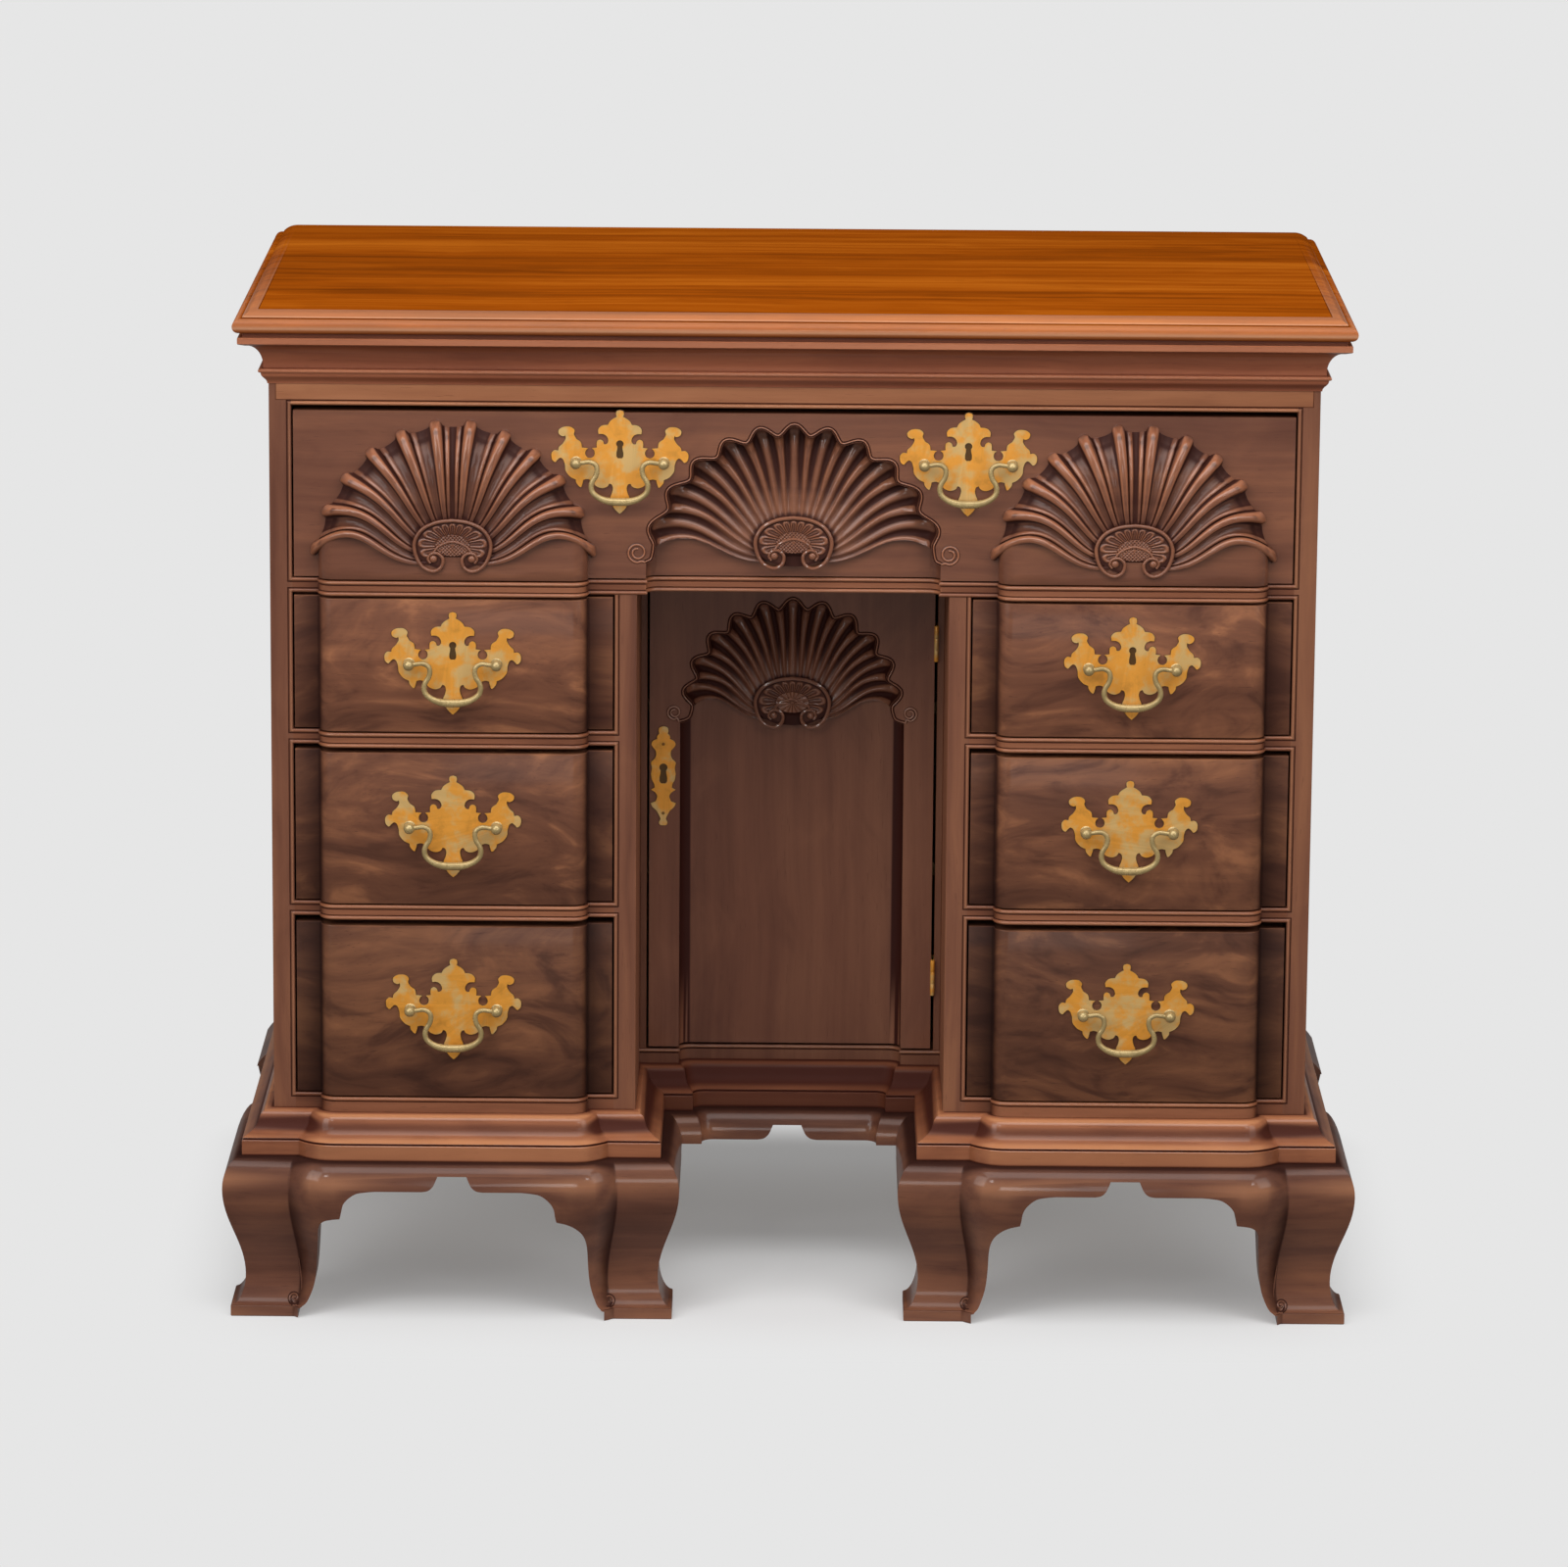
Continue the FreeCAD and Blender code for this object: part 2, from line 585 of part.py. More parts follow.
def top_and_cornice():
    """The top board with its moulded edge, and the cornice moulding under it."""
    low, out = number("cornice"), number("cornice_out")
    high = low + number("cornice_height")
    foot, rise = high - number("cove_drop"), number("cove_rise")
    cove = [(4 + (out - 10) * (1 - math.cos(angle)), foot + rise * math.sin(angle))
            for angle in (math.pi / 2 * step / 6 for step in range(7))]
    profile = [(0, low), (1, low)] + eased([(1, low + 0.6), (6, low + 9.4)], 4)
    profile += [(8, low + 10.2), (8, low + 12.6), (5.5, low + 13.4), (4, low + 13.6)] + cove
    profile += [(out, high - 9), (out, high - 3.7), (out - 4, high - 3.7), (out - 4, high), (0, high)]
    half, front, back = number("half_case"), number("front"), number("back")
    path = [(-half, back), (-half, front), (half, front), (half, back)]
    keep("cornice_moulding", solid("cornice_runs", Part.makeCompound(mitred(profile, path))))

    nose, thick = "case_top + nose_size", "case_top + top_thick"

    def edge(tip, inward):
        """The moulded edge from its lower arris up to the flat of the top."""
        return [
            (f"{tip} + {inward} * nose_size", "case_top", "nose_size", -inward),
            (tip, nose, "nose_size", -inward),
            (f"{tip} + {inward} * nose_size", "case_top + 2 * nose_size"),
            (f"{tip} + {inward} * edge_step", "case_top + 2 * nose_size"),
            (f"{tip} + {inward} * edge_step", "case_top + 2 * nose_size + nose_step", "edge_round", -inward),
            (f"{tip} + {inward} * edge_flat", thick),
        ]

    front_edge = edge("front - top_over", 1)
    rear = "back + top_over_back"
    board_body = body_of("top_length", "YZ_Plane", front_edge + [(rear, thick), (rear, "case_top")],
                         "-(half_case) - top_over", "half_case + top_over")
    right = edge("half_case + top_over", -1)
    reversed_right = []
    for index in range(len(right) - 1, -1, -1):
        point = right[index][:2]
        arc = right[index - 1][2:] if index else ()
        reversed_right.append(point + ((arc[0], -arc[1]) if arc else ()))
    ends = edge("-(half_case) - top_over", 1) + reversed_right
    end_body = body_of("top_ends", "XZ_Plane", ends, "front - top_over - 1", "back + top_over_back + 1")
    common = doc.addObject("Part::Common", "top_common")
    common.Base = board_body
    common.Tool = end_body
    keep("top_board", common)


def foot_profile():
    """The ogee of a bracket foot over its flat pad."""
    top, pad_top, pad_edge = number("foot_height"), number("pad_height"), number("pad_out")
    waist = (number("foot_waist_out"), number("foot_waist_height"))
    knots = [(pad_edge - 1, pad_top), waist, (number("foot_bulge"), number("foot_bulge_height")),
             (number("foot_top_out"), top)]
    return [(0, 0), (pad_edge, 0), (pad_edge, pad_top)] + eased(knots, 5) + [(0, top)]


def bracket(edge, way):
    """The shaped inner edge of a bracket foot, from its pad up to the apron."""
    apron = number("apron_height")
    steps = [(0, -1), (0, 0), (8, 0.19), (12, 0.3), (16, 0.51), (16, 0.7), (34, 0.79), (48, 0.97), (64, 1)]
    return [(edge + way * out, apron * share) for out, share in steps]


def arch_under(points, axis, low, high):
    """The space under a shaped edge, along Y for a front or along X for a side."""
    if axis == "y":
        ring = [Vector(place, low, up) for place, up in points]
        run = Vector(0, high - low, 0)
    else:
        ring = [Vector(low, place, up) for place, up in points]
        run = Vector(high - low, 0, 0)
    return Part.Face(Part.makePolygon(ring + ring[:1])).extrude(run)


def notched(left, right):
    """A shaped edge between two feet, with the notch in its middle."""
    middle, half = (left[-1][0] + right[-1][0]) / 2, number("notch_width") / 2
    apron, notch, slant = number("apron_height"), number("notch_height"), number("notch_slant")
    rise = [(-half - slant, apron), (-half - 0.75 * slant, apron + 0.75 * notch), (-half, apron + notch)]
    points = [(middle + out, up) for out, up in rise]
    points += [(middle - out, up) for out, up in reversed(rise)]
    return left + points + right[::-1]


def feet():
    """Bracket feet mitred at the corners, cut out below, and the apron behind the kneehole."""
    face, back, half = number("front"), number("back"), number("half_case")
    knee, tuck, middle = number("knee"), number("kneehole_tuck"), number("bay_middle")
    pad_edge, pad_wide, bulge = number("pad_out"), number("pad_width"), number("foot_bulge")
    high, reach, apron = number("foot_height"), 2.3 * number("pad_width"), number("apron_height")
    side, front, kneehole_side, behind = runs_round_case(foot_profile())[:4]
    outer_edge = half + pad_edge - pad_wide
    arch = arch_under(notched(bracket(-outer_edge, 1), bracket(outer_edge - 2 * middle, -1)),
                      "y", face - 2 * bulge, face + 1)
    toe = face - pad_edge + pad_wide
    side_arch = bracket(toe, 1) + [(toe + reach, high), (back - reach, high)]
    heel = back - pad_wide
    side_arch += bracket(heel, -1)[::-1]
    side = side.cut(arch_under(side_arch, "x", -half - 2 * bulge, -half + 1))
    front = front.cut(arch)
    kneehole_arch = bracket(toe, 1)
    end = number("door_face") + number("foot_bulge") + number("block_rise")
    kneehole_arch += [(end, apron), (end, -1)]
    kneehole_side = kneehole_side.cut(arch_under(kneehole_arch, "x", -knee - tuck - 1, 0))
    sides = side.Solids
    fore = min(sides, key=lambda piece: piece.CenterOfMass.y)
    rear = max(sides, key=lambda piece: piece.CenterOfMass.y)
    outside = slab((-half - 2 * bulge, face - 2 * bulge, -1), (-middle, face, high + 1))
    outer = fore.fuse(front.common(outside)).removeSplitter()
    inner = kneehole_side.fuse(front.cut(outside)).removeSplitter()
    brace_foot, brace_head, thick = number("brace_foot"), number("brace_head"), number("brace_thick")
    brace = [(0, 0), (brace_foot, 0), (brace_foot + 0.1 * brace_head, 0.45 * high), (brace_head, high), (0, high)]
    ring = [Vector(-half + out, back, up) for out, up in brace]
    rear = rear.fuse(Part.Face(Part.makePolygon(ring + ring[:1])).extrude(Vector(0, -thick, 0)))
    rear = rear.removeSplitter()
    for label, shape in (("outer", outer), ("inner", inner)):
        left = keep(f"foot_front_left_{label}", solid(f"foot_{label}", shape))
        keep(f"foot_front_right_{label}", mirrored(f"foot_{label}_mirror", left))
    left = solid("foot_rear", rear)
    keep("feet_rear", group("feet_rear_pair", [left, mirrored("foot_rear_mirror", left)]))
    hollow = number("door_hollow")
    left_edge, right_edge = (-hollow + 8, apron - 3), (hollow - 8, apron - 3)
    under = [(-knee, -1), (-knee, apron - 3), left_edge, (-hollow + 30, apron - 3)]
    under = notched(under, [(-place, up) for place, up in under])
    behind = behind.cut(arch_under(under, "y", face, back))
    keep("kneehole_apron", solid("apron_behind", behind))


def glue_blocks():
    """Square blocks glued inside the corners of the feet, under the case."""
    blocks = []
    low, high = "pad_height", "foot_height"
    for index, (x, y) in enumerate((
        (("-(half_case)", "-(half_case) + runner_wide"), ("front", "front + runner_wide")),
        (("half_case - runner_wide", "half_case"), ("front", "front + runner_wide")),
        (("-(bay_inner)", "-(bay_inner) + runner_wide / 2"), ("front", "front + runner_wide")),
        (("bay_inner - runner_wide / 2", "bay_inner"), ("front", "front + runner_wide")),
    )):
        blocks.append(board(f"glue_block_{index}", x, y, (low, high)))
    keep("glue_blocks", group("glue_group", blocks))


def drawer_box(name, left, right, floor, top, deep="drawer_end"):
    """The sides, back and bottom of a drawer behind its front."""
    low, high = f"{floor} + slide_gap", f"{top} - side_drop"
    behind = "front + front_thick"
    inner = (f"{left} + drawer_side", f"{right} - drawer_side")
    pieces = [
        board(f"{name}_side_a", (left, inner[0]), (behind, deep), (low, high)),
        board(f"{name}_side_b", (inner[1], right), (behind, deep), (low, high)),
        board(f"{name}_back", inner, (f"{deep} - drawer_side", deep), (low, high)),
        board(f"{name}_bottom", inner, (behind, f"{deep} - drawer_side"),
              (f"{low} + bottom_lift", f"{low} + bottom_lift + drawer_bottom")),
    ]
    return group(f"{name}_box_group", pieces)


def small_drawers():
    """Three drawers in each pedestal, with a raised block on each front."""
    for side, (left, right, block_left, block_right) in BAYS.items():
        ends = (f"{left} + gap_side", f"{right} - gap_side")
        for level, (floor, opening, gap) in LEVELS.items():
            name = f"drawer_{side}_{level}"
            top = f"{floor} + {opening} - {gap}"
            outline = plan(*ends, "front", "front + front_thick", [(raised, block_left, block_right)])
            keep(f"{name}_front", body_of(f"{name}_block", "XY_Plane", outline, f"{floor} + gap_under", top))
            keep(f"{name}_box", drawer_box(name, *ends, floor, top))
            middle = number("bay_middle") * (-1 if side == "left" else 1)
            height = number(f"({floor} + gap_under + {top}) / 2 + pull_raise")
            pull(name, middle, number("front - block_rise"), height)


# The angle from one rib or flute to the next.
RIB_ANGLE = math.radians(16.9)
# How far along a rib or a flute its five sections lie.
RIB_SHARES = (0, 0.3, 0.62, 0.88, 1)


def rib(start, end, lift, widths, sway):
    """A rib, or a flute, between two polar places about a shell's centre, in the XZ plane."""
    (first_angle, first_reach), (last_angle, last_reach) = start, end
    rings = []
    for share, depth, width in zip(RIB_SHARES, lift, widths):
        angle = first_angle + (last_angle - first_angle) * share + sway * math.sin(2 * math.pi * share)
        reach = first_reach + (last_reach - first_reach) * share
        size = width * reach * RIB_ANGLE / 2
        across = Vector(math.cos(angle), 0, -math.sin(angle))
        centre = Vector(reach * math.sin(angle), -depth, reach * math.cos(angle))
        ring = [centre + across * size * math.cos(turn) + Vector(0, size * math.sin(turn), 0)
                for turn in (math.pi / 4 * step for step in range(8))]
        rings.append(Part.makePolygon(ring + ring[:1]))
    return Part.makeLoft(rings, True, True)


def oval_reach(angle):
    """How far the edge of the carved oval is from its middle, at an angle from upright."""
    wide, high = number("oval_width") / 2, number("oval_height") / 2
    return 1 / math.hypot(math.sin(angle) / wide, math.cos(angle) / high)


def shell_heart(depth, rise):
    """The carved oval at the heart of a shell, standing off a floor at some depth."""
    disc = Part.makeCylinder(number("oval_height") / 2, rise, Vector(0, -depth, 0), Vector(0, -1, 0))
    stretch = FreeCAD.Matrix()
    stretch.A11 = number("oval_width / oval_height")
    return disc.transformGeometry(stretch)


def raised_shell():
    """Twelve curved ribs fanned out over the top of a block, about the shell's centre."""
    rise, radius, spread = number("block_rise"), number("shell_radius"), number("shell_spread")
    ribs = []
    lift = (rise - 1, rise + 1, rise, rise * 0.55, rise * 0.25)
    for index in range(12):
        tip = RIB_ANGLE * (index - 5.5)
        share = abs(index - 5.5) / 5.5
        root = tip * (1.15 + 0.2 * share)
        reach = radius + (spread - radius) * share ** 3
        start = (root, oval_reach(root) - 4)
        sway = -0.05 * math.copysign(1, tip)
        ribs.append(rib(start, (tip, reach), lift, (0.8, 0.75, 0.78, 0.68, 0.5), sway))
    rim, flat = radius - number("crown_edge"), radius - number("crown_slope")
    crown = Part.makeCone(rim, flat, rise, Vector(0, 0, 0), Vector(0, -1, 0))
    crown = crown.common(slab((-spread, -2 * rise, -4), (spread, rise, 2 * radius)))
    return crown.multiFuse(ribs + [shell_heart(rise, 6)])


def hollow_shell(radius, spread, depth):
    """The cutter for a hollow shell: eleven flutes in a shallow dish, about the shell's centre."""
    flutes = []
    lift = (4 - depth, 6 - depth, 9 - depth, 12 - depth, 13 - depth)
    for index in range(11):
        tip = RIB_ANGLE * (index - 5)
        share = abs(index - 5) / 5
        reach = radius + (spread - radius) * share ** 2
        start = (tip * 1.1, oval_reach(tip) - 2)
        end = (tip, reach * (1 - 0.3 * RIB_ANGLE))
        flutes.append(rib(start, end, lift, (0.8, 0.85, 0.9, 0.97, 0.6), 0))
    dish = Part.makeCone(radius - 4, number("oval_width") / 2, depth - 3, Vector(0, 0, 0), Vector(0, 1, 0))
    dish = dish.common(slab((-spread, -1, 0), (spread, 2 * depth, 2 * radius)))
    return dish.multiFuse(flutes)


def hollow_cutter(name, half, face, low, high):
    """The space in front of a hollow block, open at the front."""
    outline = hollowed(f"-({half})", half, face)
    outline[0] = (f"-({half})", f"{face} - 1")
    outline[-1] = (half, f"{face} - 1")
    return body_of(name, "XY_Plane", outline, low, high)


def long_drawer():
    """The long drawer, with raised shells glued on at the ends and a hollow shell in the middle."""
    face, floor = number("front"), "long_floor"
    top = "long_floor + opening_long - gap_over_long"
    ends = ("-(bay_outer) + gap_side", "bay_outer - gap_side")
    low = number("long_floor + gap_under")
    centre = low + number("shell_height")
    flat = body_of("long_flat", "XY_Plane",
                   plan(*ends, "front", "front + front_thick", []), "long_floor + gap_under", top)
    hollow = hollow_cutter("long_hollow", "hollow_half", "front",
                           "long_floor", "long_floor + gap_under + shell_height")
    cutter = hollow_shell(number("hollow_shell_radius"), number("hollow_shell_spread"), number("block_rise"))
    cutter.translate(Vector(0, face, centre))
    flutes = solid("long_flutes", cutter)
    carved = doc.addObject("Part::Cut", "long_carved")
    carved.Base = flat
    both = doc.addObject("Part::Fuse", "long_hollows")
    both.Base, both.Tool = hollow, flutes
    carved.Tool = both
    keep("long_drawer_front", carved)
    keep("long_drawer_box", drawer_box("long_drawer", *ends, floor, top))
    shells = []
    middle, half = number("bay_middle"), number("block_width") / 2
    outline = block_path(-half, half, 0) + [(-half, 0)]
    base = Part.Face(wire_through(outline)).extrude(Vector(0, 0, number("shell_height") - 2))
    base.translate(Vector(0, 0, -number("shell_height")))
    shell = raised_shell().fuse(base)
    wide = 2 * number("shell_spread")
    shell = shell.common(slab((-wide, -wide, -number("shell_height")), (wide, 0, wide))).removeSplitter()
    for way in (-1, 1):
        copy = shell.copy()
        copy.translate(Vector(way * middle, face, centre))
        shells.append(copy)
    keep("long_drawer_shells", solid("shell_pair", Part.makeCompound(shells)))
    height = number(f"{top} - pull_drop")
    for name, place in (("long_drawer_left", -1), ("long_drawer_right", 1)):
        pull(name, place * number("long_pull"), face, height)
    keep("long_drawer_lock", board("long_lock", ("long_pull - lock_wide / 2", "long_pull + lock_wide / 2"),
                                   ("front + front_thick", "front + front_thick + lock_thick"),
                                   (f"{top} - side_drop - lock_drop - lock_high",
                                    f"{top} - side_drop - lock_drop")))


def door():
    """The cupboard door with its hollow block and hollow shell, its hinges, lock and key plate."""
    face = number("door_face")
    flat = body_of("door_flat", "XY_Plane",
                   plan("door_left", "door_right", "door_face", "door_face + front_thick", []),
                   "door_bottom", "door_top")
    shell = "door_top - door_shell_drop"
    hollow = hollow_cutter("door_hollow_block", "door_hollow", "door_face", "door_bottom - 1", shell)
    cutter = hollow_shell(number("door_shell_radius"), number("door_shell_radius"), number("block_rise"))
    cutter.translate(Vector(0, face, number(shell)))
    both = doc.addObject("Part::Fuse", "door_hollows")
    both.Base, both.Tool = hollow, solid("door_flutes", cutter)
    carved = doc.addObject("Part::Cut", "door_carved")
    carved.Base, carved.Tool = flat, both
    keep("door_panel", carved)
    edge = "door_left + key_place"
    lock_height = "door_bottom + 0.57 * (door_top - door_bottom)"
    keep("door_lock", board("lock_box", ("door_left + lock_drop", "door_left + lock_drop + door_lock_wide"),
                            ("door_face + front_thick", "door_face + front_thick + lock_thick"),
                            (f"{lock_height} - door_lock_high / 2", f"{lock_height} + door_lock_high / 2")))
    place, height = number(edge), number(lock_height)
    wide, high = number("key_plate_width / 2"), number("key_plate_height / 2")
    plate = thin_plate(KEY_PLATE_OUTLINE, place, face, height, wide, high)
    keep("door_escutcheon", solid("key_plate", plate.cut(keyhole(place, face, height))))
    hinges()


def hinges():
    """Two brass butt hinges: three knuckles round a pin, and a leaf let in on each side."""
    barrel, pin, leaf = number("hinge_barrel"), number("hinge_pin"), number("hinge_leaf")
    x, y, face = number("hinge_line"), number("hinge_axis"), number("door_face")
    high, deep = number("hinge_height"), number("hinge_deep")
    door_edge, frame_edge = number("door_right"), number("knee - frame_stile")
    case_leaves, door_leaves = [], []
    inset = number("hinge_inset")
    for low in (number("door_bottom") + inset, number("door_top") - inset - high):
        bounds = [low, low + high / 3, low + 2 * high / 3, low + high]
        pieces = []
        for index in range(3):
            gap = 0.2 if index == 1 else 0
            start, length = bounds[index] + gap, high / 3 - 2 * gap
            knuckle = Part.makeCylinder(barrel, length, Vector(x, y, start))
            inner, outer = (door_edge, door_edge + leaf) if index == 1 else (frame_edge - leaf, frame_edge)
            tongue = slab((inner, y, start), (outer, face + 1, start + length))
            pieces.append(knuckle.fuse(tongue))
        bore = Part.makeCylinder(pin + 0.05, high, Vector(x, y, low))
        door_leaf = slab((door_edge, face + 0.4, low), (door_edge + leaf, face + deep, low + high))
        case_leaf = slab((frame_edge - leaf, face + 0.4, low), (frame_edge, face + deep, low + high))
        shaft = Part.makeCylinder(pin, high, Vector(x, y, low))
        door_leaves.append(pieces[1].fuse(door_leaf).cut(bore).removeSplitter())
        case_leaves.append(pieces[0].multiFuse([pieces[2], case_leaf, shaft]).removeSplitter())
    keep("hinge_case_leaves", solid("case_leaf_pair", Part.makeCompound(case_leaves)))
    keep("hinge_door_leaves", solid("door_leaf_pair", Part.makeCompound(door_leaves)))


def keyhole(x, face, z):
    """A round hole over a slot, cut through a plate on a face."""
    deep, slot, drop = 2 * number("plate_thick"), number("key_slot / 2"), number("key_drop")
    hole = Part.makeCylinder(number("key_round"), 2 * deep, Vector(x, face + deep, z), Vector(0, -1, 0))
    return hole.fuse(slab((x - slot, face - deep, z - drop), (x + slot, face + deep, z)))


# The right half of each brass plate's outline, from its finial down to its tip, as
# shares of half its width and half its height.
PLATE_OUTLINE = (
    (0, 1), (0.08, 0.88), (0.17, 0.79), (0.12, 0.66), (0.31, 0.6), (0.3, 0.42), (0.2, 0.28), (0.4, 0.2),
    (0.55, 0.4), (0.68, 0.6), (0.84, 0.72), (0.9, 0.56), (0.87, 0.38), (1, 0.08), (0.93, -0.06),
    (0.75, -0.06), (0.74, -0.28), (0.62, -0.52), (0.45, -0.42), (0.3, -0.58), (0.16, -0.5),
    (0.13, -0.7), (0.05, -0.88), (0, -1),
)
KEY_PLATE_OUTLINE = (
    (0, 1), (0.36, 0.86), (0.27, 0.68), (0.73, 0.5), (1, 0.23), (0.73, 0.05), (0.91, -0.27),
    (0.64, -0.55), (0.27, -0.68), (0.45, -0.86), (0, -1),
)


def thin_plate(outline, x, face, z, wide, high):
    """A sheet brass plate on a face, from the right half of its outline."""
    ring = [Vector(x + u * wide, face, z + v * high) for u, v in outline]
    ring += [Vector(x - u * wide, face, z + v * high) for u, v in outline[-2:0:-1]]
    return Part.Face(Part.makePolygon(ring + ring[:1])).extrude(Vector(0, -number("plate_thick"), 0))


def many_sided(centre, across, up, radius, sides=8):
    """The corners of a regular outline about a centre, in the plane of two directions."""
    turns = [2 * math.pi * (step + 0.5) / sides for step in range(sides)]
    return [centre + across * radius * math.cos(turn) + up * radius * math.sin(turn) for turn in turns]


def rounded(points, steps=2):
    """Points along straight runs and the arcs that join them, as large as the runs allow."""
    path = points[:1]
    for before, corner, after in zip(points, points[1:], points[2:]):
        into, out = (corner - before), (after - corner)
        trim = 0.45 * min(into.Length, out.Length)
        into.normalize()
        out.normalize()
        enter, leave = corner - into * trim, corner + out * trim
        bow = trim * math.tan(into.getAngle(out) / 4)
        middle = (enter + leave) / 2 + (corner - (enter + leave) / 2).normalize() * bow
        path += Part.Arc(enter, middle, leave).toShape().discretize(steps + 1)
    return path + points[-1:]


def rod_along(points, radius):
    """A rod of eight flat sides along a path in an upright plane, mitred at each corner."""
    deep = Vector(0, 1, 0)
    outs = [(b - a).normalize().cross(deep) for a, b in zip(points, points[1:])]
    mitres = outs[:1] + [(a + b) / (1 + a.dot(b)) for a, b in zip(outs, outs[1:])] + outs[-1:]
    return flat_sided(*[many_sided(at, mitre, deep, radius) for at, mitre in zip(points, mitres)])


def post(x, face, z, way):
    """A turned post with a collar and a ball, bored from the inner side for the end of a bail."""
    reach, ball, shank = number("post_reach"), number("post_ball"), number("post_shank")
    collar, rise = number("post_collar"), number("collar_rise")
    neck = math.asin(shank / ball)
    turned = [(0, collar), (rise, collar), (rise, shank), (reach - ball * math.cos(neck), shank)]
    for step in range(1, 6):
        turn = neck + (math.pi - 0.4 - neck) * step / 5
        turned.append((reach - ball * math.cos(turn), ball * math.sin(turn)))
    across, up = Vector(1, 0, 0), Vector(0, 0, 1)
    rings = [many_sided(Vector(x, face - out, z), across, up, radius) for out, radius in turned]
    ends = [Vector(x - way * 2 * ball, face - reach, z), Vector(x, face - reach, z)]
    wall = (number("bail_rod") + number("pin_play")) / math.cos(math.pi / 8)
    bore = flat_sided(*[many_sided(end, Vector(0, 1, 0), up, wall) for end in ends])
    return flat_sided(*rings).cut(bore)


def pull(name, x, face, z):
    """A back plate with two ball posts, and the bail that swings in them."""
    wide, high, thick = number("plate_width / 2"), number("plate_height / 2"), number("plate_thick")
    half, axis = number("post_spacing / 2"), face - thick - number("post_reach")
    plate = thin_plate(PLATE_OUTLINE, x, face, z, wide, high)
    if not name.endswith(("middle", "lower", "left")):
        plate = plate.cut(keyhole(x, face, z + 0.28 * high))
    posts = [post(x + way * half, face - thick, z, way) for way in (-1, 1)]
    keep(f"{name}_plate", solid(f"{name}_brass", Part.makeCompound([plate] + posts)))
    wide, drop = number("bail_half"), number("bail_drop")
    right = [(half - 0.4, 0), (0.9 * wide, 0), (0.78 * wide, -0.2 * drop), (wide, -0.56 * drop),
             (0.7 * wide, -0.94 * drop), (0, -drop)]
    route = [(-u, v) for u, v in right] + right[-2::-1]
    path = rounded([Vector(x + u, axis, z + v) for u, v in route])
    keep(f"{name}_bail", solid(f"{name}_rod", rod_along(path, number("bail_rod"))))

case()
back_and_bottoms()
rails()
cupboard()
base_moulding()
top_and_cornice()
feet()
glue_blocks()
small_drawers()
long_drawer()
door()
doc.recompute()

for item in doc.Objects:
    if "Invalid" in item.State or "Error" in item.State:
        raise RuntimeError(f"{item.Name} did not recompute: {item.State}")
for piece in parts:
    if piece.Shape.isNull() or not piece.Shape.isValid():
        raise RuntimeError(f"{piece.Label} has no valid shape")
os.makedirs("parts", exist_ok=True)
for piece in parts:
    piece.Shape.exportStep(f"parts/{piece.Label}.step")
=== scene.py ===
import math

import bmesh
import bpy
import numpy as np
from mathutils import Matrix, Vector


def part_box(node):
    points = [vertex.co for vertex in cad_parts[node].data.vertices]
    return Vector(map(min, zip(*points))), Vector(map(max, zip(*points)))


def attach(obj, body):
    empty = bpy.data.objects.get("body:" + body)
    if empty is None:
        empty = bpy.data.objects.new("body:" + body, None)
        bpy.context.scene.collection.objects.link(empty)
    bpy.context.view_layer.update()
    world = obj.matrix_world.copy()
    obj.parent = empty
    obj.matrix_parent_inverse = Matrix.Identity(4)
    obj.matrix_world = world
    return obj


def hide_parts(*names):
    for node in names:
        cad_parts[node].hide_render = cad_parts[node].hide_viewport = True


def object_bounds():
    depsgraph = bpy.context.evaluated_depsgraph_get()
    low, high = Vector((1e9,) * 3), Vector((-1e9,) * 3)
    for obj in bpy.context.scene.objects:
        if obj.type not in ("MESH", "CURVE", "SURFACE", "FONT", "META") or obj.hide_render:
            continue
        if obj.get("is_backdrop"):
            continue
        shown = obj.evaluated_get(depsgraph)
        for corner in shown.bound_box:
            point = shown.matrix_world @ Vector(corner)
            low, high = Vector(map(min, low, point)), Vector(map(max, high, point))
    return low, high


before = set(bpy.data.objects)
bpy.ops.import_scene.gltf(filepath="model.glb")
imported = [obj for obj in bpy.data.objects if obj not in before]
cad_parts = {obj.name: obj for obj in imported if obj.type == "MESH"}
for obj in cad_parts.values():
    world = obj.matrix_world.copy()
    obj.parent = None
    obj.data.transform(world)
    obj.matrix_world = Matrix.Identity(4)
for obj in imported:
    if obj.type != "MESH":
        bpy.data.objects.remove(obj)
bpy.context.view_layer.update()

# ---------------------------------------------------------------- case
# The case sides, kneehole sides and bottoms are sawn boards, planed and dovetailed, with plain
# boards across the back.
# What shows is mahogany under old varnish; what is hidden is poplar and chestnut left raw.
MM = 0.001


